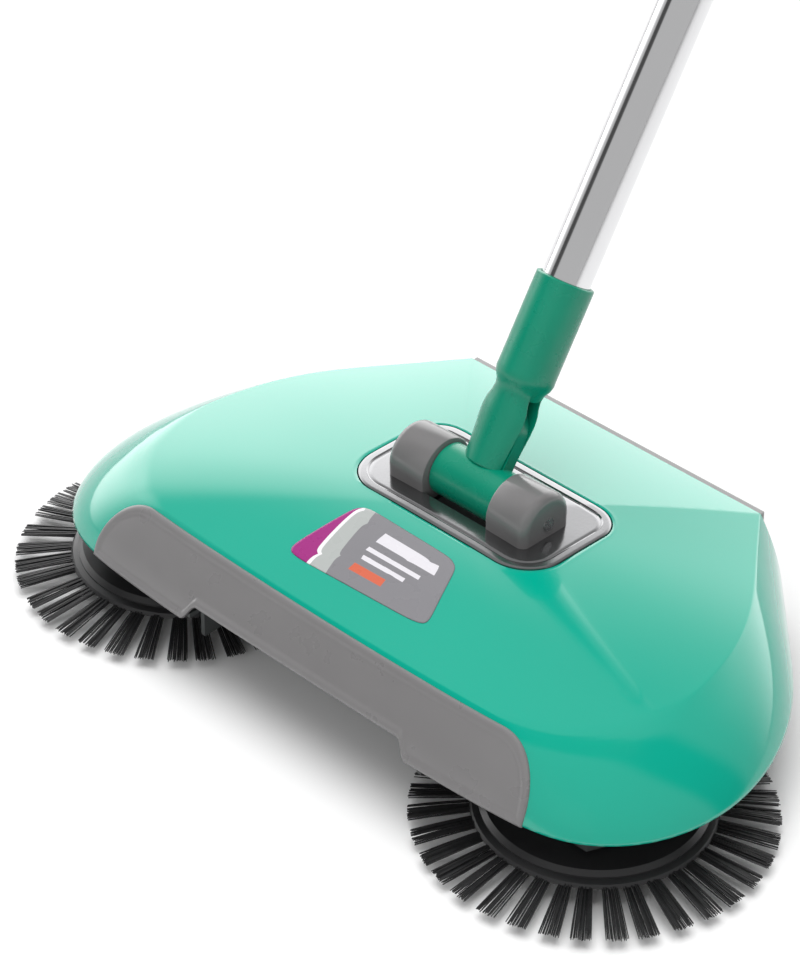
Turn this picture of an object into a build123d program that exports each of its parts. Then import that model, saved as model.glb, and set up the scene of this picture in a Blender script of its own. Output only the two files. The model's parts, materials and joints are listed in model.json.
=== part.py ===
"""Hand-push floor sweeper: a low head with two spinning side brushes, a geared
roller brush, a slide-out dust tray and a hinged three-section tube handle.

Frame: X across the head, -Y forwards, +Z up, millimetres, floor at Z = 0.
"""
from build123d import *
from math import atan2, cos, degrees, hypot, pi, radians, sin, sqrt, tan
import os

os.makedirs("parts", exist_ok=True)

# ---------------------------------------------------------------- driving sizes
brush_spread = 123.6        # side-brush centre to the middle of the head
brush_tip_radius = 77.0     # tuft tips
brush_tip_height = 4.0      # tuft tips above the floor
brush_hub_radius = 48.0
brush_hub_bottom = 9.0
brush_hub_top = 14.0
head_side = 56.0            # skirt beyond a side-brush centre
head_front = 57.0           # skirt ahead of the side-brush line
head_back = 147.0           # back of the shell behind the side-brush line
skirt_height = 30.0         # lower edge of the shell above the floor
crease_height = 60.0        # sharp edge between the side and the top
crown_height = 70.2         # highest point of the top
front_bow = 2.4             # how far the front edge bows forwards
wall = 2.5                  # moulded wall of the shell
base_wall = 2.2             # moulded wall of the base
gap = 0.4                   # between fixed mouldings
slide_gap = 0.5             # between sliding or turning mouldings
running_gap = 0.05          # radial clearance of a shaft in its bore
lip = 4.0                   # rebate behind an edge
backing = 1.7               # fascia wall that laps behind the shell
ledge_inset = 4.5           # edge of the base inside the shell's wall

fascia_half = 128.0
fascia_top = 59.0
fascia_corner = 25.0
mouth_half = 64.0
mouth_height = 37.0

hinge_back = 60.0           # handle hinge behind the side-brush line
hinge_height = 76.0
hinge_pin_radius = 3.0
ear_inner = 18.5
ear_outer = 41.0
ear_radius = 15.0
plate_half = 56.0
plate_front = 31.0          # hinge plate's front edge behind the side-brush line
plate_back = 92.0
plate_corner = 11.0
plate_top = 70.5
plate_flange_top = 62.0
plate_flange = 3.0
barrel_radius = 12.0
tilt_height = 27.0          # tilt pin above the hinge, along the handle
tilt_pin_radius = 2.5
lug_half = 3.5
cheek_thickness = 3.6
cheek_half = 13.0
socket_radius = 13.2
socket_start = 44.0
socket_end = 96.0
lean = 32.6                 # handle's backward lean at rest, degrees from upright

tube_radius = 11.0
tube_wall = 0.5
tube_depth = 34.0           # how far the lowest tube goes into its socket
section_length = 270.0
collar_radius = 12.4
collar_length = 8.0
plug_length = 28.0
grip_radius = 14.5
grip_bore = 10.4            # hollow of the grip above the tube
grip_length = 130.0
grip_cover = 26.0           # tube inside the grip's lower end
cap_length = 30.0
eye_radius = 5.0            # hanging eye
eye_wall = 6.0
eye_thickness = 9.0

wheel_radius = 26.0
wheel_back = 94.0           # drive-wheel axle behind the side-brush line
wheel_width = 14.0
wheel_axle_radius = 2.5
tyre_thickness = 3.5
roller_radius = 20.5
roller_clear = 1.5          # roller tips above the floor
roller_half = 60.0
roller_core_radius = 9.0
roller_shaft_radius = 3.0
housing_gap = 3.0
caster_radius = 7.0
caster_width = 8.0
caster_spread = 92.4
caster_back = 139.0
caster_pin_radius = 1.5

module = 1.25
pressure = 25.0             # gear pressure angle, degrees
addendum = 0.8 * module
dedendum = 1.05 * module
wheel_teeth = 30
roller_teeth = 18
face_teeth = 34             # crown ring on the outside of a drive wheel
pinion_teeth = 10
crown_teeth = 26            # crown gear on a side-brush spindle
gear_width = 5.0
pinion_width = 3.2
drive_shaft_radius = 2.0
spindle_radius = 3.0

tray_half = 83.0
tray_floor = 14.0
tray_wall = 2.0
tray_height = 50.0
rim_height = 59.0
rim_depth = 3.2
rail_depth = 2.0            # rails that carry the tray
rail_height = 47.3
nose_setback = 14.0         # base behind the front edge
screw_radius = 1.4
screw_head_radius = 2.8
boss_radius = 4.2

# ------------------------------------------------------------- worked-out places
handle_length = (socket_end + 3 * section_length + 2 * collar_length
                 + grip_length - grip_cover + cap_length)
eye_outer = eye_radius + eye_wall
handle_reach = (handle_length - eye_outer) * sin(radians(lean)) + eye_outer
brush_y = (brush_tip_radius - hinge_back - handle_reach) / 2
hinge_y = brush_y + hinge_back
wheel_y = brush_y + wheel_back
roller_z = roller_radius + roller_clear
mesh_distance = module * (wheel_teeth + roller_teeth) / 2
roller_y = wheel_y - sqrt(mesh_distance ** 2 - (wheel_radius - roller_z) ** 2)
caster_y = brush_y + caster_back
half_width = brush_spread + head_side
front_y = brush_y - head_front
back_y = brush_y + head_back
middle_y = (front_y + back_y) / 2
shaft_x = brush_spread
pinion_radius = module * pinion_teeth / 2
face_radius = module * face_teeth / 2
crown_radius = module * crown_teeth / 2
wheel_outer = shaft_x - pinion_radius - dedendum
wheel_inner = wheel_outer - wheel_width
gear_inner = wheel_inner - gear_width - gap
pinion_back_y = wheel_y - face_radius
pinion_front_y = brush_y + crown_radius
floor_top = brush_hub_top + 1.4 + base_wall      # upper face of the gear tubs' floor
floor_bottom = floor_top - base_wall
ledge_top = skirt_height + base_wall
channel_half = mouth_half + base_wall
bay_half = tray_half + rail_depth + slide_gap
roller_housing = roller_radius + housing_gap
bay_front = roller_y + roller_housing + base_wall


# ------------------------------------------------------------------- the head form
SKIRT = [(0.61, 0.012), (0.835, 0.06), (0.952, 0.17), (1.0, 0.33), (0.975, 0.5),
         (0.865, 0.7), (0.715, 0.855), (0.56, 1.0)]
CREASE = [(0.545, 0.103), (0.672, 0.132), (0.765, 0.21), (0.811, 0.345), (0.79, 0.53),
          (0.706, 0.72), (0.595, 0.86), (0.478, 1.0)]


def ring(blend, inset):
    """Right-hand side points of the plan, from the skirt (0) to the crease (1)."""
    points = []
    for (x0, y0), (x1, y1) in zip(SKIRT, CREASE):
        x = half_width * (x0 + (x1 - x0) * blend)
        y = front_y + (back_y - front_y) * (y0 + (y1 - y0) * blend)
        reach = hypot(x, y - middle_y)
        points.append((x * (1 - inset / reach), y - inset * (y - middle_y) / reach))
    return points


def plan(points, bow):
    """Closed plan face: a bowed front, two curved sides and a straight back."""
    front, back = points[0], points[-1]
    with BuildSketch() as face:
        with BuildLine():
            side = Spline(points)
            mirror(side, about=Plane.YZ)
            ThreePointArc((-front[0], front[1]), (0, front[1] - bow), front)
            Line(back, (-back[0], back[1]))
        make_face()
    return face.sketch


def shrunk(points, share):
    """The same plan drawn in towards the middle of the head."""
    return [(x * share, middle_y + (y - middle_y) * share) for x, y in points]


def head_form(inset):
    """The head's solid form, its surface moved in by inset (out when negative)."""
    with BuildPart() as form:
        for blend, lift in ((0.0, 0.0), (0.36, 0.5), (1.0, 1.0)):
            drop = inset * min(1.0, 2 * lift)
            height = skirt_height + (crease_height - skirt_height) * lift - drop
            with BuildSketch(Plane.XY.offset(height)):
                add(plan(ring(blend, inset), front_bow))
        loft()
        for share, lift in ((1.0, 0.0), (0.72, 0.56), (0.36, 1.0)):
            height = crease_height + (crown_height - crease_height) * lift - inset
            with BuildSketch(Plane.XY.offset(height)):
                add(plan(shrunk(ring(1.0, inset), share), front_bow * share))
        loft()
    return form.part


def keep(piece, name):
    """Label a finished piece and write it."""
    piece.label = name
    export_step(piece, f"parts/{name}.step")


def keep_pair(piece, name):
    """Write a right-hand piece and its mirror image on the left."""
    with BuildPart() as other:
        mirror(piece, about=Plane.YZ)
    keep(piece, f"{name}_right")
    keep(other.part, f"{name}_left")


# --------------------------------------------------------------------- gear teeth
def involute(angle):
    """Involute function of a pressure angle in radians."""
    return tan(angle) - angle


def half_tooth(teeth, radius, fullness):
    """Half angle in radians that an involute tooth fills at a radius."""
    base = module * teeth / 2 * cos(radians(pressure))
    local = involute(atan2(sqrt(max(radius ** 2 - base ** 2, 0.0)), base))
    return fullness * pi / (2 * teeth) + involute(radians(pressure)) - local


def spur(teeth, turn, fullness=0.84):
    """Spur-gear face; one tooth points at the angle turn."""
    pitch = module * teeth / 2
    with BuildSketch(mode=Mode.PRIVATE) as tooth:
        flank = []
        for radius in (pitch - dedendum, pitch, pitch + addendum):
            angle = half_tooth(teeth, radius, fullness)
            flank.append((radius * cos(angle), radius * sin(angle)))
        inner = (pitch - dedendum - 0.6, 0)
        with BuildLine():
            Polyline([inner] + flank + [(x, -y) for x, y in reversed(flank)], close=True)
        make_face()
    Circle(pitch - dedendum)
    with PolarLocations(0, teeth, start_angle=turn):
        add(tooth.sketch)


def crown_tooth(teeth, inner, outer):
    """One tooth of a crown gear, standing on Z = 0 along +X, tapering to the middle."""
    pitch = module * teeth / 2
    height = addendum + dedendum
    with BuildPart() as tooth:
        for radius in (inner, outer):
            half = 0.66 * pi * radius / (2 * teeth)
            slope = tan(radians(pressure)) * radius / pitch
            foot, tip = half + slope * dedendum, half - slope * addendum
            with BuildSketch(Plane(origin=(radius, 0, 0), x_dir=(0, 1, 0), z_dir=(1, 0, 0))):
                with BuildLine():
                    Polyline((-foot, -0.4), (-foot, 0), (-tip, height), (tip, height),
                             (foot, 0), (foot, -0.4), close=True)
                make_face()
        loft(ruled=True)
    return tooth.part


# ------------------------------------------------------------------------ the shell
SCREWS = [(brush_spread + 38.0, brush_y + 8.0), (brush_spread + 15.0, brush_y - 34.0),
          (brush_spread + 23.4, brush_y + 74.0)]
CASE_SCREWS = SCREWS + [(-x, y) for x, y in SCREWS]
HINGE_SCREWS = [(x * (plate_half + lip + 1.5), brush_y + y)
                for x in (-1, 1) for y in (plate_front + 9, plate_back - 9)]
outer_form = head_form(0)
inner_form = head_form(wall)
backing_form = head_form(wall + backing)


def fascia_front(growth, notch):
    """Front-view outline of the fascia, grown by a margin, without its mouth."""
    with BuildSketch(Plane.XZ.offset(-front_y - 45.0)) as front:
        top = fascia_top + growth
        half = fascia_half + growth
        with Locations((0, top / 2)):
            Rectangle(2 * half, top)
        fillet(front.vertices().group_by(Axis.Z)[-1], fascia_corner)
        if notch:
            with Locations((0, mouth_height / 2)):
                Rectangle(2 * mouth_half, mouth_height, mode=Mode.SUBTRACT)
    return front.sketch


def skin(outside, inside):
    """What lies between two of the head's forms."""
    with BuildPart() as layer:
        add(outside)
        add(inside, mode=Mode.SUBTRACT)
    return layer.part


def front_piece(layer, growth, notch):
    """The stretch of a layer that the fascia's outline covers."""
    with BuildPart() as piece:
        extrude(fascia_front(growth, notch), amount=60)
        add(layer, mode=Mode.INTERSECT)
    return piece.part


with BuildPart() as cavity:
    add(inner_form)
    with Locations([(x, y, ledge_top) for x, y in CASE_SCREWS]):
        Cylinder(boss_radius, crown_height, align=(Align.CENTER, Align.CENTER, Align.MIN),
                 mode=Mode.SUBTRACT)
    with Locations([(x, y, plate_flange_top) for x, y in HINGE_SCREWS]):
        Cylinder(boss_radius, crown_height, align=(Align.CENTER, Align.CENTER, Align.MIN),
                 mode=Mode.SUBTRACT)

with BuildPart() as top_shell:
    add(outer_form)
    add(cavity.part, mode=Mode.SUBTRACT)
    extrude(fascia_front(gap, False), amount=60, mode=Mode.SUBTRACT)
    with BuildSketch(Plane.XY.offset(plate_flange_top)):
        with Locations((0, brush_y + (plate_front + plate_back) / 2)):
            RectangleRounded(2 * (plate_half + gap), plate_back - plate_front + 2 * gap,
                             plate_corner + gap)
    extrude(amount=crown_height, mode=Mode.SUBTRACT)
    with Locations((0, back_y, 0)):
        Box(2 * (bay_half + gap), 30, rim_height + gap,
            align=(Align.CENTER, Align.CENTER, Align.MIN), mode=Mode.SUBTRACT)
    with Locations([(x, y, ledge_top) for x, y in CASE_SCREWS]):
        Cylinder(screw_radius, 10, align=(Align.CENTER, Align.CENTER, Align.MIN),
                 mode=Mode.SUBTRACT)
    with Locations([(x, y, plate_flange_top) for x, y in HINGE_SCREWS]):
        Cylinder(screw_radius, 5, align=(Align.CENTER, Align.CENTER, Align.MIN),
                 mode=Mode.SUBTRACT)
keep(top_shell.part, "top_shell")

with BuildPart() as front_fascia:
    add(front_piece(skin(outer_form, backing_form), 0, True))
    add(front_piece(skin(head_form(wall + 0.2), backing_form), lip, True))
    with Locations((0, front_y, mouth_height / 2)):
        Box(2 * mouth_half, 60, mouth_height, mode=Mode.SUBTRACT)
keep(front_fascia.part, "front_fascia")

# ------------------------------------------------------------------- hinge and label
plate_middle = brush_y + (plate_front + plate_back) / 2
plate_depth = plate_back - plate_front
ear_width = ear_outer - ear_inner
with BuildPart() as hinge_plate:
    with BuildSketch(Plane.XY.offset(plate_flange_top - wall)):
        with Locations((0, plate_middle)):
            RectangleRounded(2 * (plate_half + plate_flange), plate_depth + 2 * plate_flange,
                             plate_corner + plate_flange)
        with Locations(HINGE_SCREWS):
            Circle(boss_radius)
    extrude(amount=wall - gap / 2)
    with BuildSketch(Plane.XY.offset(plate_flange_top - wall)):
        with Locations((0, plate_middle)):
            RectangleRounded(2 * plate_half, plate_depth, plate_corner)
    extrude(amount=plate_top - plate_flange_top + wall)
    with BuildSketch(Plane.XY.offset(plate_flange_top - wall)):
        with Locations((0, plate_middle)):
            RectangleRounded(2 * (plate_half - wall), plate_depth - 2 * wall,
                             plate_corner - wall)
    extrude(amount=plate_top - plate_flange_top, mode=Mode.SUBTRACT)
    for side in (-1, 1):
        face_x = side * (ear_inner + ear_outer) / 2
        with BuildSketch(Plane.YZ.offset(face_x)):
            with Locations((hinge_y, hinge_height)):
                Circle(ear_radius)
            with Locations((hinge_y, (hinge_height + plate_flange_top) / 2)):
                Rectangle(2 * ear_radius, hinge_height - plate_flange_top)
        extrude(amount=ear_width / 2, both=True)
    pocket_floor = hinge_height - barrel_radius - slide_gap - wall
    pocket_half = barrel_radius + slide_gap
    with Locations((0, hinge_y, pocket_floor)):
        Box(2 * ear_inner, 2 * (pocket_half + wall), plate_top - pocket_floor,
            align=(Align.CENTER, Align.CENTER, Align.MIN))
    with Locations((0, hinge_y, pocket_floor + wall)):
        Box(2 * ear_inner, 2 * pocket_half, ear_radius * 3,
            align=(Align.CENTER, Align.CENTER, Align.MIN), mode=Mode.SUBTRACT)
    with Locations(Location((0, hinge_y, hinge_height), (0, 90, 0))):
        Cylinder(hinge_pin_radius, 2 * ear_outer + 2, mode=Mode.SUBTRACT)
    with Locations([(x, y, plate_flange_top - wall) for x, y in HINGE_SCREWS]):
        Cylinder(screw_radius, 2 * wall, mode=Mode.SUBTRACT)
keep(hinge_plate.part, "hinge_plate")

with BuildPart() as hinge_screws:
    for x, y in HINGE_SCREWS:
        with Locations((x, y, plate_flange_top - wall)):
            Cylinder(screw_head_radius, 1.6, align=(Align.CENTER, Align.CENTER, Align.MAX))
            Cylinder(screw_radius, 6.5, align=(Align.CENTER, Align.CENTER, Align.MIN))
keep(hinge_screws.part, "hinge_screws")

with BuildPart() as hinge_pin:
    with Locations(Location((0, hinge_y, hinge_height), (0, 90, 0))):
        Cylinder(hinge_pin_radius, 2 * ear_outer)
keep(hinge_pin.part, "hinge_pin")

with BuildPart() as label_plate:
    with BuildSketch(Plane.XY.offset(crease_height)) as label_face:
        with BuildLine():
            Polyline((-33, brush_y + 25), (-14, brush_y - 18), (33, brush_y - 18),
                     (14, brush_y + 25), close=True)
        make_face()
        fillet(label_face.vertices(), 7)
    extrude(amount=20)
    add(skin(head_form(-0.6), outer_form), mode=Mode.INTERSECT)
keep(label_plate.part, "label_plate")

# -------------------------------------------------------------------------- the base
tub_front = brush_y - 30.0
bridge_reach = crown_radius + 8.0


def tub_plan(inset):
    """Plan of the right-hand gear tub, drawn in by the wall where asked."""
    with BuildSketch(mode=Mode.PRIVATE) as tub:
        with BuildLine():
            Polyline((channel_half - base_wall, tub_front),
                     (shaft_x + 22, tub_front),
                     (shaft_x + bridge_reach + 5, brush_y - 14),
                     (shaft_x + bridge_reach + 5, brush_y + 20),
                     (shaft_x + 12, brush_y + 74),
                     (shaft_x + 10, pinion_back_y + 14),
                     (wheel_outer + 7, wheel_y + wheel_radius - 2.5),
                     (wheel_outer - 1.5, wheel_y + wheel_radius + 4.5),
                     (caster_spread + 7, caster_y + 4),
                     (bay_half, caster_y + 4),
                     (bay_half, bay_front),
                     (channel_half - base_wall, bay_front), close=True)
        make_face()
        if inset:
            offset(amount=-inset, mode=Mode.REPLACE)
    return tub.sketch


def post(x_low, x_high, y_low, y_high, top):
    """An upright block standing on a tub's floor."""
    with Locations(((x_low + x_high) / 2, (y_low + y_high) / 2, floor_top)):
        Box(x_high - x_low, y_high - y_low, top - floor_top,
            align=(Align.CENTER, Align.CENTER, Align.MIN))


shaft_z = wheel_radius
bearing_top = shaft_z + 6.0
bridge_low, bridge_top = shaft_z + 8.0, shaft_z + 19.0
front_post_y = pinion_front_y + 8.0
back_post_y = pinion_back_y - 12.0
post_depth = 6.0
channel_roof = mouth_height + 1.2
with BuildPart() as right_tub:
    extrude(Plane.XY.offset(floor_bottom) * tub_plan(0), amount=ledge_top - floor_bottom)
    extrude(Plane.XY.offset(floor_top) * tub_plan(base_wall), amount=60, mode=Mode.SUBTRACT)
    # side walls of the mouth channel, the roller well and the tray bay
    with Locations((mouth_half, front_y + nose_setback, floor_bottom)):
        Box(base_wall, bay_front - front_y - nose_setback,
            channel_roof + base_wall - floor_bottom,
            align=(Align.MIN, Align.MIN, Align.MIN))
    with Locations((bay_half, bay_front, floor_bottom)):
        Box(base_wall, back_y - bay_front - 3, rail_height - floor_bottom,
            align=(Align.MIN, Align.MIN, Align.MIN))
    with Locations((bay_half, bay_front, rail_height)):
        Box(rail_depth, back_y - bay_front - 3, rail_depth,
            align=(Align.MAX, Align.MIN, Align.MAX))
    # bearing posts for the drive shaft, the wheel axle and the spindle
    post(shaft_x - 5, shaft_x + 5, front_post_y, front_post_y + post_depth, bearing_top)
    post(shaft_x - 5, shaft_x + 5, back_post_y, back_post_y + post_depth, bearing_top)
    post(bay_half + base_wall, gear_inner - gap, wheel_y - 6, wheel_y + 6, bearing_top)
    for side in (-1, 1):
        foot = shaft_x + side * bridge_reach
        post(foot - 2.5, foot + 2.5, brush_y - 6, brush_y + 6, bridge_top)
    with Locations((shaft_x, brush_y, bridge_low)):
        Box(2 * bridge_reach, 12, bridge_top - bridge_low,
            align=(Align.CENTER, Align.CENTER, Align.MIN))
        Cylinder(9, bridge_top - bridge_low, align=(Align.CENTER, Align.CENTER, Align.MIN))
    # bores
    with Locations((shaft_x, brush_y, bridge_low)):
        Cylinder(spindle_radius + 1.5, 80, mode=Mode.SUBTRACT)
    with Locations(Location((shaft_x, (front_post_y + back_post_y + post_depth) / 2, shaft_z),
                            (90, 0, 0))):
        Cylinder(drive_shaft_radius + running_gap, back_post_y - front_post_y + 8,
                 mode=Mode.SUBTRACT)
    with Locations(Location((gear_inner, wheel_y, wheel_radius), (0, 90, 0))):
        Cylinder(wheel_axle_radius, 40, mode=Mode.SUBTRACT)
    with Locations(Location((mouth_half, roller_y, roller_z), (0, 90, 0))):
        Cylinder(roller_shaft_radius + 2.0, 12, mode=Mode.SUBTRACT)
    # openings in the floor: crown gear, wheel, roller pinion
    with Locations((shaft_x, brush_y, floor_bottom)):
        Cylinder(crown_radius + addendum + 3.2, 2 * base_wall + 1, mode=Mode.SUBTRACT)
    with Locations(((gear_inner + wheel_outer) / 2 + 1, wheel_y, floor_bottom)):
        Box(wheel_outer - gear_inner + 5, 2 * wheel_radius + 3, 2 * base_wall + 1,
            mode=Mode.SUBTRACT)
    with Locations((gear_inner + gear_width / 2, roller_y, floor_bottom)):
        Box(gear_width + 2, 2 * module * roller_teeth / 2 + 6, 2 * base_wall + 1,
            mode=Mode.SUBTRACT)
    # caster bracket under the floor
    for side in (-1, 1):
        cheek_x = caster_spread + side * (caster_width / 2 + slide_gap + 1.2)
        with Locations((cheek_x, caster_y, floor_top)):
            Box(2.4, 8, floor_top - caster_radius + 3,
                align=(Align.CENTER, Align.CENTER, Align.MAX))
    with Locations(Location((caster_spread, caster_y, caster_radius), (0, 90, 0))):
        Cylinder(caster_pin_radius, 30, mode=Mode.SUBTRACT)

with BuildPart() as ledge:
    with BuildSketch(Plane.XY.offset(skirt_height)):
        add(plan(ring(0.0, wall + ledge_inset), front_bow))
    extrude(amount=base_wall)
    with Locations((0, front_y, skirt_height)):
        Box(2 * mouth_half, 2 * (bay_front - front_y), 20, mode=Mode.SUBTRACT)
    with Locations((0, bay_front, skirt_height)):
        Box(2 * bay_half, head_back, 20, align=(Align.CENTER, Align.MIN, Align.CENTER),
            mode=Mode.SUBTRACT)
    for side in (1, -1):
        tub = tub_plan(base_wall)
        if side < 0:
            tub = mirror(tub, about=Plane.YZ, mode=Mode.PRIVATE)
        extrude(Plane.XY.offset(skirt_height - 1) * tub, amount=2 * base_wall,
                mode=Mode.SUBTRACT)
    with Locations([(x, y, skirt_height) for x, y in CASE_SCREWS]):
        Cylinder(screw_radius + 0.2, 20, mode=Mode.SUBTRACT)

with BuildPart() as base_plate:
    add(ledge.part)
    add(right_tub.part)
    mirror(right_tub.part, about=Plane.YZ)
    with BuildSketch(Plane.YZ) as roof:
        with Locations((roller_y, roller_z)):
            Circle(roller_housing + base_wall)
        with Locations(((front_y + nose_setback + roller_y) / 2,
                        channel_roof + base_wall / 2)):
            Rectangle(roller_y - front_y - nose_setback, base_wall)
        with Locations((roller_y, roller_z)):
            Circle(roller_housing, mode=Mode.SUBTRACT)
        with Locations((roller_y, 0)):
            Rectangle(4 * roller_housing, 2 * channel_roof, mode=Mode.SUBTRACT)
    extrude(amount=mouth_half, both=True)
keep(base_plate.part, "base_plate")

with BuildPart() as case_screws:
    with Locations([(x, y, skirt_height) for x, y in CASE_SCREWS]):
        Cylinder(screw_head_radius, 1.8, align=(Align.CENTER, Align.CENTER, Align.MAX))
        Cylinder(screw_radius, base_wall + 9, align=(Align.CENTER, Align.CENTER, Align.MIN))
keep(case_screws.part, "case_screws")

with BuildPart() as spindle_bush:
    with Locations((shaft_x, brush_y, bridge_low)):
        Cylinder(spindle_radius + 1.5, bridge_top - bridge_low,
                 align=(Align.CENTER, Align.CENTER, Align.MIN))
        Cylinder(spindle_radius + running_gap, 60, mode=Mode.SUBTRACT)
keep_pair(spindle_bush.part, "spindle_bush")

with BuildPart() as roller_bush:
    with Locations(Location((mouth_half, roller_y, roller_z), (0, 90, 0))):
        Cylinder(roller_shaft_radius + 2.0, base_wall,
                 align=(Align.CENTER, Align.CENTER, Align.MIN))
        Cylinder(roller_shaft_radius + running_gap, 20, mode=Mode.SUBTRACT)
keep_pair(roller_bush.part, "roller_bush")

# ------------------------------------------------------------------- wheels and gears
with BuildPart() as wheel_axle:
    with Locations(Location((bay_half + base_wall, wheel_y, wheel_radius), (0, 90, 0))):
        Cylinder(wheel_axle_radius, wheel_outer - bay_half - base_wall,
                 align=(Align.CENTER, Align.CENTER, Align.MIN))
keep_pair(wheel_axle.part, "wheel_axle")

hub_radius = wheel_radius - tyre_thickness
mesh_angle = degrees(atan2(roller_z - wheel_radius, roller_y - wheel_y))
with BuildPart() as wheel:
    with BuildSketch(Plane.YZ.offset(wheel_inner)):
        with Locations((wheel_y, wheel_radius)):
            Circle(hub_radius)
    extrude(amount=wheel_width)
    for start in (wheel_inner, wheel_outer - 1.6):
        with BuildSketch(Plane.YZ.offset(start)):
            with Locations((wheel_y, wheel_radius)):
                Circle(hub_radius + 1.4)
        extrude(amount=1.6)
    with BuildSketch(Plane(origin=(gear_inner, wheel_y, wheel_radius), x_dir=(0, 1, 0),
                           z_dir=(1, 0, 0))):
        spur(wheel_teeth, mesh_angle)
    extrude(amount=wheel_inner - gear_inner)
    face_tooth = crown_tooth(face_teeth, face_radius - pinion_width / 2 - 0.4,
                             face_radius + pinion_width / 2 + 0.4)
    face_plane = Plane(origin=(wheel_outer, wheel_y, wheel_radius), x_dir=(0, -1, 0),
                       z_dir=(1, 0, 0))
    with Locations(face_plane):
        with PolarLocations(0, face_teeth, start_angle=180 / face_teeth):
            add(face_tooth)
    with Locations(Location((wheel_inner, wheel_y, wheel_radius), (0, 90, 0))):
        Cylinder(wheel_axle_radius + running_gap, 60, mode=Mode.SUBTRACT)
keep_pair(wheel.part, "drive_wheel")

with BuildPart() as tyre:
    with BuildSketch(Plane.YZ.offset(wheel_inner + 1.6)):
        with Locations((wheel_y, wheel_radius)):
            Circle(wheel_radius)
            Circle(hub_radius, mode=Mode.SUBTRACT)
    extrude(amount=wheel_width - 3.2)
    fillet(tyre.edges().filter_by(GeomType.CIRCLE).group_by(SortBy.RADIUS)[-1], 1.2)
keep_pair(tyre.part, "tyre")

with BuildPart() as drive_shaft:
    shaft_start = pinion_front_y - pinion_width / 2 - 1.0
    with Locations(Location((shaft_x, shaft_start, shaft_z), (-90, 0, 0))):
        Cylinder(drive_shaft_radius, pinion_back_y + pinion_width / 2 + 1.0 - shaft_start,
                 align=(Align.CENTER, Align.CENTER, Align.MIN))
keep_pair(drive_shaft.part, "drive_shaft")


def pinion(middle, turn):
    """A pinion pressed on the drive shaft; one tooth points at the angle turn."""
    with BuildPart() as gear:
        with BuildSketch(Plane(origin=(shaft_x, middle - pinion_width / 2, shaft_z),
                               x_dir=(-1, 0, 0), z_dir=(0, 1, 0))):
            spur(pinion_teeth, turn)
            Circle(drive_shaft_radius, mode=Mode.SUBTRACT)
        extrude(amount=pinion_width)
    return gear.part


keep_pair(pinion(pinion_back_y, 0), "rear_pinion")
keep_pair(pinion(pinion_front_y, -90), "front_pinion")

# ------------------------------------------------------------------------- the roller
with BuildPart() as roller_shaft:
    with Locations(Location((0, roller_y, roller_z), (0, 90, 0))):
        Cylinder(roller_shaft_radius, 2 * (gear_inner + gear_width))
keep(roller_shaft.part, "roller_shaft")

with BuildPart() as roller_core:
    with Locations(Location((0, roller_y, roller_z), (0, 90, 0))):
        Cylinder(roller_core_radius, 2 * roller_half)
        Cylinder(roller_shaft_radius, 2 * roller_half, mode=Mode.SUBTRACT)
keep(roller_core.part, "roller_core")

tuft_rows = 6
with BuildPart() as roller_bristles:
    with BuildSketch(Plane.YZ.offset(-roller_half + 2)):
        with Locations((roller_y, roller_z)):
            Circle(roller_core_radius + 3)
            with PolarLocations(0, tuft_rows):
                with Locations((roller_radius / 2, 0)):
                    Rectangle(roller_radius, 6)
            Circle(roller_radius, mode=Mode.INTERSECT)
            Circle(roller_core_radius, mode=Mode.SUBTRACT)
    extrude(amount=2 * roller_half - 4)
keep(roller_bristles.part, "roller_bristles")

with BuildPart() as roller_pinion:
    gap_turn = mesh_angle + 180 + 180 / roller_teeth
    with BuildSketch(Plane(origin=(gear_inner, roller_y, roller_z), x_dir=(0, 1, 0),
                           z_dir=(1, 0, 0))):
        spur(roller_teeth, gap_turn)
        Circle(roller_shaft_radius, mode=Mode.SUBTRACT)
    extrude(amount=gear_width)
keep_pair(roller_pinion.part, "roller_pinion")

# ------------------------------------------------------------------ the side brushes
crown_face = shaft_z - pinion_radius - dedendum
with BuildPart() as brush_hub:
    with BuildSketch(Plane.XY.offset(brush_hub_bottom)):
        with Locations((shaft_x, brush_y)):
            Circle(brush_hub_radius)
    extrude(amount=brush_hub_top - brush_hub_bottom)
    chamfer(brush_hub.faces().sort_by(Axis.Z)[-1].edges(), 2.0)
    with Locations((shaft_x, brush_y, brush_hub_bottom)):
        Cylinder(spindle_radius, 30, mode=Mode.SUBTRACT)
        Cylinder(screw_head_radius + 2, 3.6, mode=Mode.SUBTRACT)
keep_pair(brush_hub.part, "brush_hub")

with BuildPart() as brush_tufts:
    with BuildSketch(Plane.XZ.offset(-brush_y)):
        with BuildLine():
            inner, outer = shaft_x + brush_hub_radius, shaft_x + brush_tip_radius
            Polyline((inner, brush_hub_bottom), (outer, brush_tip_height),
                     (outer, brush_tip_height + 2), (inner, brush_hub_top - 2), close=True)
        make_face()
    revolve(axis=Axis((shaft_x, brush_y, 0), (0, 0, 1)))
keep_pair(brush_tufts.part, "brush_tufts")

with BuildPart() as crown_gear:
    with BuildSketch(Plane.XY.offset(brush_hub_top)):
        with Locations((shaft_x, brush_y)):
            Circle(crown_radius + pinion_width / 2 + 0.4)
    extrude(amount=crown_face - brush_hub_top)
    ring_tooth = crown_tooth(crown_teeth, crown_radius - pinion_width / 2 - 0.4,
                             crown_radius + pinion_width / 2 + 0.4)
    with Locations((shaft_x, brush_y, crown_face)):
        with PolarLocations(0, crown_teeth, start_angle=90 + 180 / crown_teeth):
            add(ring_tooth)
    with Locations((shaft_x, brush_y, crown_face)):
        Cylinder(7, bridge_low - crown_face - slide_gap,
                 align=(Align.CENTER, Align.CENTER, Align.MIN))
        Cylinder(spindle_radius, 60, mode=Mode.SUBTRACT)
keep_pair(crown_gear.part, "crown_gear")

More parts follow.
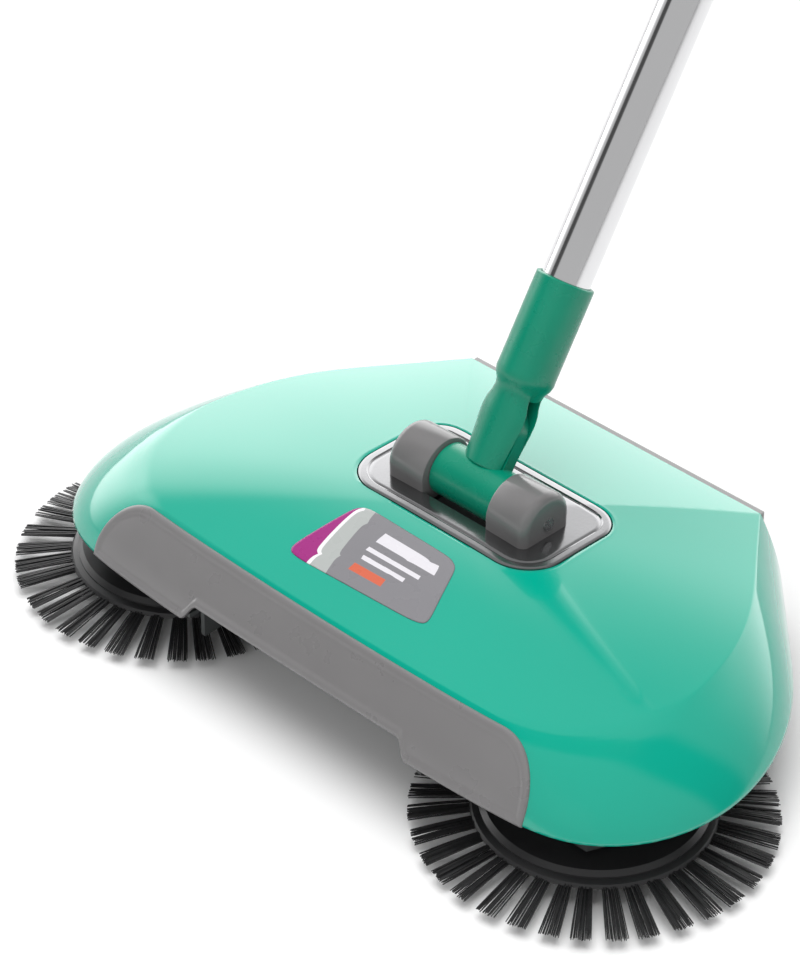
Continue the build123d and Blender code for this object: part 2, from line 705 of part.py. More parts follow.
with BuildPart() as spindle:
    with Locations((shaft_x, brush_y, brush_hub_bottom + 1.8)):
        Cylinder(spindle_radius, bridge_top + 1.5 - brush_hub_bottom - 1.8,
                 align=(Align.CENTER, Align.CENTER, Align.MIN))
        Cylinder(screw_radius, 16, mode=Mode.SUBTRACT)
keep_pair(spindle.part, "spindle")

with BuildPart() as brush_screw:
    with Locations((shaft_x, brush_y, brush_hub_bottom + 1.8)):
        Cylinder(screw_head_radius, 1.6, align=(Align.CENTER, Align.CENTER, Align.MAX))
        Cylinder(screw_radius, 7.5, align=(Align.CENTER, Align.CENTER, Align.MIN))
keep_pair(brush_screw.part, "brush_screw")

# ----------------------------------------------------------------------- the casters
with BuildPart() as caster_wheel:
    with Locations(Location((caster_spread, caster_y, caster_radius), (0, 90, 0))):
        Cylinder(caster_radius, caster_width)
        Cylinder(caster_pin_radius + running_gap, caster_width, mode=Mode.SUBTRACT)
    fillet(caster_wheel.edges().filter_by(GeomType.CIRCLE).group_by(SortBy.RADIUS)[-1], 1.0)
keep_pair(caster_wheel.part, "caster_wheel")

with BuildPart() as caster_pins:
    for side in (-1, 1):
        with Locations(Location((side * caster_spread, caster_y, caster_radius), (0, 90, 0))):
            Cylinder(caster_pin_radius, caster_width + 2 * slide_gap + 4.8)
keep(caster_pins.part, "caster_pins")

# --------------------------------------------------------------------- the dust tray
tray_front = bay_front + slide_gap
tray_back = back_y + rim_depth
with BuildPart() as dust_tray:
    with Locations((0, tray_front, tray_floor)):
        Box(2 * tray_half, back_y - tray_front, tray_height - tray_floor,
            align=(Align.CENTER, Align.MIN, Align.MIN))
    with Locations((0, tray_front + tray_wall, tray_floor + tray_wall)):
        Box(2 * (tray_half - tray_wall), back_y - tray_front - 2 * tray_wall, tray_height,
            align=(Align.CENTER, Align.MIN, Align.MIN), mode=Mode.SUBTRACT)
    with Locations((0, tray_front, roller_z + 6)):
        Box(2 * (tray_half - tray_wall), 2 * tray_wall, 40,
            align=(Align.CENTER, Align.CENTER, Align.MIN), mode=Mode.SUBTRACT)
    with Locations((0, tray_front, tray_height - 2)):
        Box(2 * (bay_half - slide_gap), back_y - tray_front, 2,
            align=(Align.CENTER, Align.MIN, Align.MIN))
    with Locations((0, tray_front - 1, tray_height - 3)):
        Box(2 * (tray_half - tray_wall), back_y - tray_front - tray_wall + 1, 5,
            align=(Align.CENTER, Align.MIN, Align.MIN), mode=Mode.SUBTRACT)
    with Locations((0, back_y - tray_wall, tray_floor)):
        Box(2 * bay_half, rim_depth + tray_wall, rim_height - tray_floor,
            align=(Align.CENTER, Align.MIN, Align.MIN))
keep(dust_tray.part, "dust_tray")

# ------------------------------------------------------------------------ the handle
UP = Vector(0, sin(radians(lean)), cos(radians(lean)))
HINGE = Vector(0, hinge_y, hinge_height)


def along(distance):
    """Plane across the handle at a distance from its hinge, X across the head."""
    return Plane(origin=HINGE + UP * distance, x_dir=(1, 0, 0), z_dir=UP)


def across(distance):
    """Plane square to the tilt pin, at a distance along the pin from the handle's axis."""
    pin = Vector(0, cos(radians(lean)), -sin(radians(lean)))
    return Plane(origin=HINGE + pin * distance, x_dir=(1, 0, 0), z_dir=pin)


with BuildPart() as trunnion:
    with Locations(Location((0, hinge_y, hinge_height), (0, 90, 0))):
        Cylinder(barrel_radius, 2 * (ear_inner - slide_gap))
    with BuildSketch(across(-lug_half)):
        with Locations((0, -tilt_height)):
            Circle(cheek_half - 2)
        with Locations((0, -tilt_height / 2)):
            Rectangle(2 * (cheek_half - 2), tilt_height)
    extrude(amount=2 * lug_half)
    with Locations(Location((0, hinge_y, hinge_height), (0, 90, 0))):
        Cylinder(hinge_pin_radius + running_gap, 60, mode=Mode.SUBTRACT)
    with BuildSketch(across(-20)):
        with Locations((0, -tilt_height)):
            Circle(tilt_pin_radius)
    extrude(amount=40, mode=Mode.SUBTRACT)
keep(trunnion.part, "trunnion")

cheek_inner = lug_half + slide_gap
cheek_outer = cheek_inner + cheek_thickness
cheek_low = barrel_radius + 3.0
with BuildPart() as handle_socket:
    with BuildSketch(along(socket_start)):
        Circle(socket_radius)
    extrude(amount=socket_end - socket_start)
    fillet(handle_socket.edges().filter_by(GeomType.CIRCLE).sort_by(Axis.Z)[0], 2.5)
    for side in (-1, 1):
        near = cheek_inner if side > 0 else -cheek_outer
        with BuildSketch(across(near)) as cheek:
            with Locations((0, -(cheek_low + socket_start + 1) / 2)):
                Rectangle(2 * cheek_half, socket_start + 1 - cheek_low)
            fillet(cheek.vertices().group_by(Axis.Z)[0], 9.0)
        extrude(amount=cheek_thickness)
    with BuildSketch(along(cheek_half + tilt_height)):
        Rectangle(2 * cheek_half, 2 * cheek_outer)
    extrude(amount=socket_start - cheek_half - tilt_height + 3)
    with BuildSketch(across(-cheek_outer - 1)):
        with Locations((0, -tilt_height)):
            Circle(tilt_pin_radius + running_gap)
    extrude(amount=2 * cheek_outer + 2, mode=Mode.SUBTRACT)
    with BuildSketch(along(socket_end - tube_depth)):
        Circle(tube_radius)
    extrude(amount=tube_depth, mode=Mode.SUBTRACT)
keep(handle_socket.part, "handle_socket")

with BuildPart() as tilt_pin:
    with BuildSketch(across(-cheek_outer)):
        with Locations((0, -tilt_height)):
            Circle(tilt_pin_radius)
    extrude(amount=2 * cheek_outer)
keep(tilt_pin.part, "tilt_pin")


def tube(start, end):
    """A length of handle tube."""
    with BuildPart() as piece:
        with BuildSketch(along(start)):
            Circle(tube_radius)
            Circle(tube_radius - tube_wall, mode=Mode.SUBTRACT)
        extrude(amount=end - start)
    return piece.part


def coupler(middle):
    """A collar between two tubes, with a plug into each."""
    with BuildPart() as piece:
        with BuildSketch(along(middle - collar_length / 2 - plug_length)):
            Circle(tube_radius - tube_wall - running_gap)
            Circle(tube_radius - tube_wall - 2.0, mode=Mode.SUBTRACT)
        extrude(amount=collar_length + 2 * plug_length)
        with BuildSketch(along(middle - collar_length / 2)):
            Circle(collar_radius)
            Circle(tube_radius - tube_wall - 2.0, mode=Mode.SUBTRACT)
        extrude(amount=collar_length)
    return piece.part


first_end = socket_end + section_length
second_end = first_end + collar_length + section_length
third_end = second_end + collar_length + section_length
keep(tube(socket_end - tube_depth, first_end), "lower_tube")
keep(coupler(first_end + collar_length / 2), "lower_coupler")
keep(tube(first_end + collar_length, second_end), "middle_tube")
keep(coupler(second_end + collar_length / 2), "upper_coupler")
keep(tube(second_end + collar_length, third_end), "upper_tube")

grip_start = third_end - grip_cover
grip_end = grip_start + grip_length
with BuildPart() as grip:
    with BuildSketch(along(grip_start)):
        Circle(grip_radius)
    extrude(amount=grip_length)
    with BuildSketch(along(grip_start)):
        Circle(tube_radius)
    extrude(amount=grip_cover, mode=Mode.SUBTRACT)
    with BuildSketch(along(grip_start)):
        Circle(grip_bore)
    extrude(amount=grip_length, mode=Mode.SUBTRACT)
    fillet(grip.edges().filter_by(GeomType.CIRCLE).group_by(SortBy.RADIUS)[-1], 2.0)
keep(grip.part, "grip")

with BuildPart() as end_cap:
    with BuildSketch(along(grip_end - 12)):
        Circle(grip_bore)
    extrude(amount=12)
    with BuildSketch(along(grip_end)):
        Circle(grip_radius - 2)
    extrude(amount=4)
    with BuildSketch(Plane(origin=HINGE + UP * grip_end, x_dir=(0, UP.Y, UP.Z),
                           z_dir=(1, 0, 0))):
        with Locations((cap_length - eye_outer, 0)):
            Circle(eye_outer)
        with Locations(((cap_length - eye_outer) / 2, 0)):
            Rectangle(cap_length - eye_outer, 2 * eye_outer)
        with Locations((cap_length - eye_outer, 0)):
            Circle(eye_radius, mode=Mode.SUBTRACT)
    extrude(amount=eye_thickness / 2, both=True)
keep(end_cap.part, "end_cap")
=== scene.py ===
"""Looks of the floor sweeper: moulded head, side brushes, roller, tray and handle.

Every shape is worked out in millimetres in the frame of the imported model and
goes into its mesh in metres.
"""
import json
import math

import bmesh
import bpy
import numpy as np
from mathutils import Matrix, Vector


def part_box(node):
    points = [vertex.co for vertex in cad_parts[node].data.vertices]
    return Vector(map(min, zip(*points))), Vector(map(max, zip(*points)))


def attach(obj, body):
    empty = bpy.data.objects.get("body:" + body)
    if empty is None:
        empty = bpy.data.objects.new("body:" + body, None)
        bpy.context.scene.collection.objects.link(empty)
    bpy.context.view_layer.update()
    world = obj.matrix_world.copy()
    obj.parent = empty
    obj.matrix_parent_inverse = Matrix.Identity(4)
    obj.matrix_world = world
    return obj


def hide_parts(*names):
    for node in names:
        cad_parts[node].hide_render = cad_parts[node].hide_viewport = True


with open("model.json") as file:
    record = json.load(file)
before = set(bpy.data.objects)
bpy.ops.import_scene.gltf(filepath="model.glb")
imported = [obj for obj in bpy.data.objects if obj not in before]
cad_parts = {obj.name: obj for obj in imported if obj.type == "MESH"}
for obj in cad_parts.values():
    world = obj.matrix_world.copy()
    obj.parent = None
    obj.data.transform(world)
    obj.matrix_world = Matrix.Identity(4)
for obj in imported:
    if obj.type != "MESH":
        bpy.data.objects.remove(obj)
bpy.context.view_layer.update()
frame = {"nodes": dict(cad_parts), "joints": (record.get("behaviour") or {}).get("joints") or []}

bl_info = {
    "name": "Floor sweeper looks",
    "version": (1, 0, 0),
    "blender": (4, 5, 0),
    "location": "3D View > Sidebar > Sweeper",
    "description": "Builds the visible shells, brushes and handle of a floor sweeper",
    "category": "Object",
}

MM = 0.001


# --------------------------------------------------------------- places from the frame
def box_mm(node):
    """Lowest and highest corner of a CAD node, in millimetres."""
    low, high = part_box(node)
    return np.array(low) / MM, np.array(high) / MM


def joint_place(name):
    """A joint's position in millimetres."""
    joint = next(j for j in frame["joints"] if j["name"] == name)
    return np.array(joint["pos_m"]) / MM


SHELL_LOW, SHELL_HIGH = box_mm("top_shell")
BRUSH_LOW, BRUSH_HIGH = box_mm("brush_hub_right")
HALF_WIDTH = SHELL_HIGH[0]
FRONT_Y, BACK_Y = SHELL_LOW[1], SHELL_HIGH[1]
MIDDLE_Y = (FRONT_Y + BACK_Y) / 2
SKIRT_Z = SHELL_LOW[2]
BRUSH_X = (BRUSH_LOW[0] + BRUSH_HIGH[0]) / 2
BRUSH_Y = (BRUSH_LOW[1] + BRUSH_HIGH[1]) / 2
HINGE = joint_place("handle_lean")
TILT = joint_place("handle_tilt")
UP = (TILT - HINGE) / np.linalg.norm(TILT - HINGE)
ACROSS = np.array([1.0, 0.0, 0.0])
BEHIND = np.cross(UP, ACROSS)
CREASE_Z = 60.0
BULGE_EVEN, BULGE_CURVED = 0.44, 0.56
DOME_POWER = 2.1
GRIP_SPAN = (896.0, 1026.0)
SIDES = (("left", -1.0), ("right", 1.0))

# Studio light: radiances of the reflected wall and room, and of the diffuse surroundings.
WALL_SIDE = (-0.72, 0.69, 0.0)
WALL_FADE, WALL_TOP = 0.46, 0.76
WALL_LIGHT, ROOM_LIGHT, DIFFUSE_LIGHT = 2.9, 0.55, 0.36

# Camera: lens in mm, then eye and aim in mm from the middle of the side-brush line.
LENS, ROLL = 126.24, 0.39
EYE = (788.14, -798.93, 917.55)
AIM = (-101.4, 115.8, 0.0)

# Right half of the head's plan, as shares of its half width and its depth.
SKIRT_PLAN = ((0.61, 0.012), (0.835, 0.06), (0.952, 0.17), (1.0, 0.33), (0.975, 0.5),
              (0.865, 0.7), (0.715, 0.855), (0.56, 1.0))
CREASE_PLAN = ((0.545, 0.103), (0.672, 0.132), (0.765, 0.21), (0.811, 0.345), (0.79, 0.53),
               (0.706, 0.72), (0.595, 0.86), (0.478, 1.0))


# ------------------------------------------------------------------ sizes and colours
def length(name, default, description):
    """A size property in millimetres."""
    return bpy.props.FloatProperty(name=name, default=default, description=description,
                                   min=0.0, unit="NONE")


def colour(name, default, description):
    """A colour property."""
    return bpy.props.FloatVectorProperty(name=name, default=default, size=3, min=0.0,
                                         max=1.0, subtype="COLOR", description=description)


class SweeperSizes(bpy.types.PropertyGroup):
    """Sizes of the visible pieces."""

    crown_rise: length("Crown rise", 11.0, "Top of the shell above its crease")
    shell_wall: length("Shell wall", 2.5, "Moulded wall of the shell")
    fascia_half: length("Fascia half width", 128.0, "Half width of the front trim")
    fascia_top: length("Fascia top", 58.6, "Height of the trim's upper edge")
    fascia_corner: length("Fascia corner", 25.0, "Radius of the trim's upper corners")
    bead_width: length("Bead width", 3.4, "Width of the raised rim round the trim")
    bead_height: length("Bead height", 1.2, "Height of the raised rim round the trim")
    mouth_half: length("Mouth half width", 64.0, "Half width of the dust mouth")
    mouth_height: length("Mouth height", 37.0, "Top of the dust mouth above the floor")
    plate_half: length("Hinge plate half width", 56.0, "Half width of the hinge plate")
    plate_front: length("Hinge plate front", 29.0, "Plate edge ahead of the hinge")
    plate_back: length("Hinge plate back", 32.0, "Plate edge behind the hinge")
    ear_radius: length("Ear radius", 15.0, "Radius of the hinge ears")
    strand: length("Strand thickness", 0.62, "Thickness of a brush filament")
    tuft_root: length("Tuft root width", 4.2, "Width of a side-brush tuft at the hub")
    tuft_tip: length("Tuft tip width", 8.6, "Width of a side-brush tuft at its end")
    tufts: bpy.props.IntProperty(name="Tufts", default=35, min=6,
                                 description="Tufts round each side brush")


class SweeperColours(bpy.types.PropertyGroup):
    """Colours of the finishes."""

    shell: colour("Shell green", (0.0, 0.385, 0.27), "Glossy moulding of the shell")
    socket: colour("Socket green", (0.0, 0.25, 0.15), "Satin moulding of the handle joint")
    trim: colour("Trim grey", (0.20, 0.195, 0.197), "Front trim and hinge")
    bristle: colour("Bristle black", (0.012, 0.012, 0.013), "Brush filament")
    grip: colour("Grip grey", (0.09, 0.09, 0.092), "Soft grip")
    accent: colour("Label accent", (0.33, 0.03, 0.20), "Coloured corner of the label")


# ------------------------------------------------------------------------ mesh helpers
def lattice(rows, columns, wrap=False):
    """Quads of a grid of points in row order; wrap joins the last column to the first."""
    numbers = np.arange(rows * columns).reshape(rows, columns)
    if wrap:
        numbers = np.concatenate([numbers, numbers[:, :1]], axis=1)
    quads = np.stack([numbers[:-1, :-1], numbers[:-1, 1:], numbers[1:, 1:], numbers[1:, :-1]],
                     axis=-1)
    return quads.reshape(-1, 4)


def new_piece(name, parts, body, sharp=35.0, merge=0.0, outward=False):
    """One object from (points in mm, faces) parts; shaded smooth except at sharp edges.

    merge joins points closer than that many mm; outward turns every face outwards.
    """
    points, faces, start = [], [], 0
    for corner, quads in parts:
        corner = np.asarray(corner, float).reshape(-1, 3)
        points.append(corner)
        rows = quads.tolist() if isinstance(quads, np.ndarray) else quads
        faces.extend([[v + start for v in row] for row in rows])
        start += len(corner)
    mesh = bpy.data.meshes.new(name)
    mesh.from_pydata((np.concatenate(points) * MM).tolist(), [], faces)
    work = bmesh.new()
    work.from_mesh(mesh)
    if merge:
        bmesh.ops.remove_doubles(work, verts=work.verts, dist=merge * MM)
        bmesh.ops.dissolve_degenerate(work, edges=work.edges, dist=merge * MM)
    if outward:
        bmesh.ops.recalc_face_normals(work, faces=work.faces)
    work.to_mesh(mesh)
    work.free()
    mesh.validate()
    mesh.shade_smooth()
    mesh.set_sharp_from_angle(angle=math.radians(sharp))
    piece = bpy.data.objects.new(name, mesh)
    bpy.context.collection.objects.link(piece)
    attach(piece, body)
    return piece


def finish_piece(piece, material, slot, *nodes):
    """Give a piece its material and hide the CAD nodes it stands for; slot is not used."""
    piece.data.materials.append(material)
    if nodes:
        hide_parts(*nodes)
    return piece


def wall(piece, thickness):
    """Give an open surface its wall, inwards."""
    solid = piece.modifiers.new("Wall", "SOLIDIFY")
    solid.thickness = thickness * MM
    solid.offset = -1.0
    solid.use_even_offset = True
    solid.thickness_clamp = 1.0
    return piece


def closed_body(rings):
    """Closed body from rings of points: quads between them and a fan over either end."""
    rings = np.asarray(rings, float)
    rows, columns = rings.shape[:2]
    around = np.arange(columns)
    ends = np.stack([rings[0].mean(axis=0), rings[-1].mean(axis=0)])
    points = np.concatenate([rings.reshape(-1, 3), ends])
    hub = np.full(columns, rows * columns)
    first = np.stack([(around + 1) % columns, around, hub], axis=1)
    last = (rows - 1) * columns
    second = np.stack([last + around, last + (around + 1) % columns, hub + 1], axis=1)
    return points, lattice(rows, columns, wrap=True).tolist() + first.tolist() + second.tolist()


def spline(knots, values, at):
    """Natural cubic through values at the knots, evaluated at an array of parameters.

    Second derivatives solve the usual three-term system; a span is the cubic that
    meets its two ends with those bends.
    """
    count = len(knots)
    gaps = np.diff(knots)
    rise = np.diff(values, axis=0) / gaps[:, None]
    system = np.eye(count)
    inner = np.arange(1, count - 1)
    system[inner, inner - 1] = gaps[:-1]
    system[inner, inner] = 2 * (gaps[:-1] + gaps[1:])
    system[inner, inner + 1] = gaps[1:]
    right = np.zeros_like(values)
    right[1:-1] = 6 * np.diff(rise, axis=0)
    bend = np.linalg.solve(system, right)
    span = np.clip(np.searchsorted(knots, at, side="right") - 1, 0, count - 2)
    gap = gaps[span][..., None]
    after = (at - knots[span])[..., None]
    before = gap - after
    curve = (bend[span] * before ** 3 + bend[span + 1] * after ** 3) / (6 * gap)
    curve += (values[span] / gap - bend[span] * gap / 6) * before
    return curve + (values[span + 1] / gap - bend[span + 1] * gap / 6) * after


def smooth_step(value, start, end):
    """0 before start, 1 after end, and 3t^2 - 2t^3 between."""
    t = np.clip((value - start) / (end - start), 0, 1)
    return t * t * (3 - 2 * t)


# ------------------------------------------------------------------------ the head form
def full_plan(shares, front_share):
    """Points of a plan from its back-left corner round the front to its back-right one."""
    right = np.array([(HALF_WIDTH * x, FRONT_Y + (BACK_Y - FRONT_Y) * y) for x, y in shares])
    left = right[::-1] * (-1, 1)
    front = [[0.0, FRONT_Y + (BACK_Y - FRONT_Y) * front_share]]
    return np.concatenate([left, front, right])


SKIRT = full_plan(SKIRT_PLAN, 0.0)
CREASE = full_plan(CREASE_PLAN, 0.091)
KNOTS = np.concatenate([[0], np.cumsum(np.linalg.norm(np.diff(SKIRT, axis=0), axis=1))])
KNOTS = KNOTS / KNOTS[-1]


def plan_at(place, blend):
    """Plan point at place (0 back left, 1 back right), from the skirt (0) to the crease (1)."""
    low, high = spline(KNOTS, SKIRT, place), spline(KNOTS, CREASE, place)
    return low + (high - low) * blend[..., None]


def bulge(lift):
    """Share of the way in to the crease at a share of its height: part of it grows evenly
    and part with the square."""
    return BULGE_EVEN * lift + BULGE_CURVED * lift ** 2


def side_point(place, height):
    """Point of the bulging side at a place round it and a height."""
    flat = plan_at(place, bulge((height - SKIRT_Z) / (CREASE_Z - SKIRT_Z)))
    return np.concatenate([flat, height[..., None]], axis=-1)


def place_at(x, height):
    """Place on the front half of the side whose x is given, by halving the interval."""
    low, high = np.full_like(x, KNOTS[4]), np.full_like(x, KNOTS[12])
    for _ in range(28):
        middle = (low + high) / 2
        over = side_point(middle, height)[..., 0] > x
        high, low = np.where(over, middle, high), np.where(over, low, middle)
    return (low + high) / 2


def share_at(flat):
    """Share of the way from the middle of the head to the crease, for plan points."""
    place = np.linspace(0, 1, 721)
    edge = spline(KNOTS, CREASE, place) - (0, MIDDLE_Y)
    back = np.linspace(edge[-1], edge[0], 60)[1:-1]
    edge = np.concatenate([edge, back])
    angle = np.unwrap(np.arctan2(edge[:, 1], edge[:, 0]))
    reach = np.linalg.norm(edge, axis=1)
    offset = flat - (0, MIDDLE_Y)
    turn = np.arctan2(offset[..., 1], offset[..., 0])
    turn = np.where(turn < angle[0], turn + 2 * np.pi, turn)
    return np.linalg.norm(offset, axis=-1) / np.interp(turn, angle, reach)


def dome(flat, rise):
    """Height of the top: the rise falls away with a power of the share."""
    return CREASE_Z + rise * (1 - np.clip(share_at(flat), 0, 1) ** DOME_POWER)


def plate_outline(sizes, turn, inset):
    """Rounded plan of the hinge plate, drawn in by inset, with wider front corners.

    Each quarter is a straight stretch and an arc; turn runs once round from 0 to 1.
    """
    half = sizes.plate_half - inset
    low = HINGE[1] - sizes.plate_front + inset
    high = HINGE[1] + sizes.plate_back - inset
    back_radius, front_radius = max(14.0 - inset, 0.5), max(20.0 - inset, 0.5)
    path = []
    corners = ((half - back_radius, high - back_radius, back_radius, 0),
               (-half + back_radius, high - back_radius, back_radius, 90),
               (-half + front_radius, low + front_radius, front_radius, 180),
               (half - front_radius, low + front_radius, front_radius, 270))
    for x, y, radius, first in corners:
        angle = np.radians(np.linspace(first, first + 90, 25))
        path.append(np.stack([x + radius * np.cos(angle), y + radius * np.sin(angle)], axis=1))
    path = np.concatenate(path + [path[0][:1]])
    keys = np.concatenate([[0], np.cumsum(np.linalg.norm(np.diff(path, axis=0), axis=1))])
    keys = keys / keys[-1]
    return np.stack([np.interp(turn, keys, path[:, 0]), np.interp(turn, keys, path[:, 1])], axis=-1)


# --------------------------------------------------------------------------- materials
def noise(nodes, links, scale, detail=2.0, roughness=0.5):
    """Noise on the object's own coordinates, in metres."""
    place = nodes.new("ShaderNodeTexCoord")
    texture = nodes.new("ShaderNodeTexNoise")
    texture.inputs["Scale"].default_value = scale
    texture.inputs["Detail"].default_value = detail
    texture.inputs["Roughness"].default_value = roughness
    links.new(place.outputs["Object"], texture.inputs["Vector"])
    return texture


def spread(nodes, links, source, low, high):
    """Map a 0..1 value into a range."""
    ramp = nodes.new("ShaderNodeMapRange")
    ramp.inputs["From Min"].default_value = 0.3
    ramp.inputs["From Max"].default_value = 0.7
    ramp.inputs["To Min"].default_value = low
    ramp.inputs["To Max"].default_value = high
    links.new(source, ramp.inputs["Value"])
    return ramp.outputs["Result"]


def moulded(name, tint, shade=0.9, gloss=(0.08, 0.14), grain=900.0, depth=0.02, blotch=18.0,
            **sockets):
    """A moulded finish: two close tones in soft blotches, uneven gloss and a fine grain."""
    title = f"{name}_finish"
    if title in bpy.data.materials:
        return bpy.data.materials[title]
    material = bpy.data.materials.new(title)
    material.use_nodes = True
    nodes, links = material.node_tree.nodes, material.node_tree.links
    shader = nodes["Principled BSDF"]
    for socket, value in sockets.items():
        shader.inputs[socket.replace("_", " ")].default_value = value
    tones = nodes.new("ShaderNodeValToRGB")
    tones.color_ramp.elements[0].position = 0.3
    tones.color_ramp.elements[1].position = 0.7
    tones.color_ramp.elements[0].color = (*[c * shade for c in tint], 1)
    tones.color_ramp.elements[1].color = (*tint, 1)
    links.new(noise(nodes, links, blotch).outputs["Fac"], tones.inputs["Fac"])
    links.new(tones.outputs["Color"], shader.inputs["Base Color"])
    smudge = noise(nodes, links, blotch * 3, 4.0)
    links.new(spread(nodes, links, smudge.outputs["Fac"], *gloss), shader.inputs["Roughness"])
    bump = nodes.new("ShaderNodeBump")
    bump.inputs["Strength"].default_value = depth
    bump.inputs["Distance"].default_value = 0.0005
    links.new(noise(nodes, links, grain, 1.0).outputs["Fac"], bump.inputs["Height"])
    links.new(bump.outputs["Normal"], shader.inputs["Normal"])
    return material


def shell_green(colours):
    """Glossy green moulding with a clear, slightly wavy surface."""
    return moulded("shell_green", colours.shell, 0.96, (0.10, 0.15), 420.0, 0.006, 9.0,
                   Coat_Weight=0.5, Coat_Roughness=0.04, Specular_IOR_Level=0.5)


def socket_green(colours):
    """Satin green of the handle joint."""
    return moulded("socket_green", colours.socket, 0.93, (0.24, 0.34), 1300.0, 0.05, 30.0)


def trim_grey(colours):
    """Grey moulding of the front trim."""
    return moulded("trim_grey", colours.trim, 0.95, (0.26, 0.34), 1500.0, 0.05, 22.0)


def hinge_grey(colours):
    """Smoother grey of the hinge ears."""
    tint = [c * 0.9 for c in colours.trim]
    return moulded("hinge_grey", tint, 0.94, (0.16, 0.22), 1200.0, 0.03, 40.0)


def plated():
    """Bright plated insert that mirrors what is above it."""
    return moulded("plated_insert", (0.24, 0.24, 0.245), 0.95, (0.09, 0.16), 700.0, 0.02, 30.0,
                   Metallic=0.92)


def bristle_black(colours):
    """Black filament with a soft sheen."""
    return moulded("bristle_black", colours.bristle, 0.5, (0.3, 0.45), 4000.0, 0.1, 260.0,
                   Sheen_Weight=0.25, Sheen_Roughness=0.4)


def hub_black():
    """Satin black of the brush discs."""
    return moulded("hub_black", (0.02, 0.02, 0.021), 0.8, (0.28, 0.4), 1600.0, 0.06)


def polished_tube():
    """Polished stainless steel, a little smudged."""
    return moulded("polished_tube", (0.78, 0.78, 0.79), 0.97, (0.07, 0.12), 60.0, 0.01, 12.0,
                   Metallic=1.0)


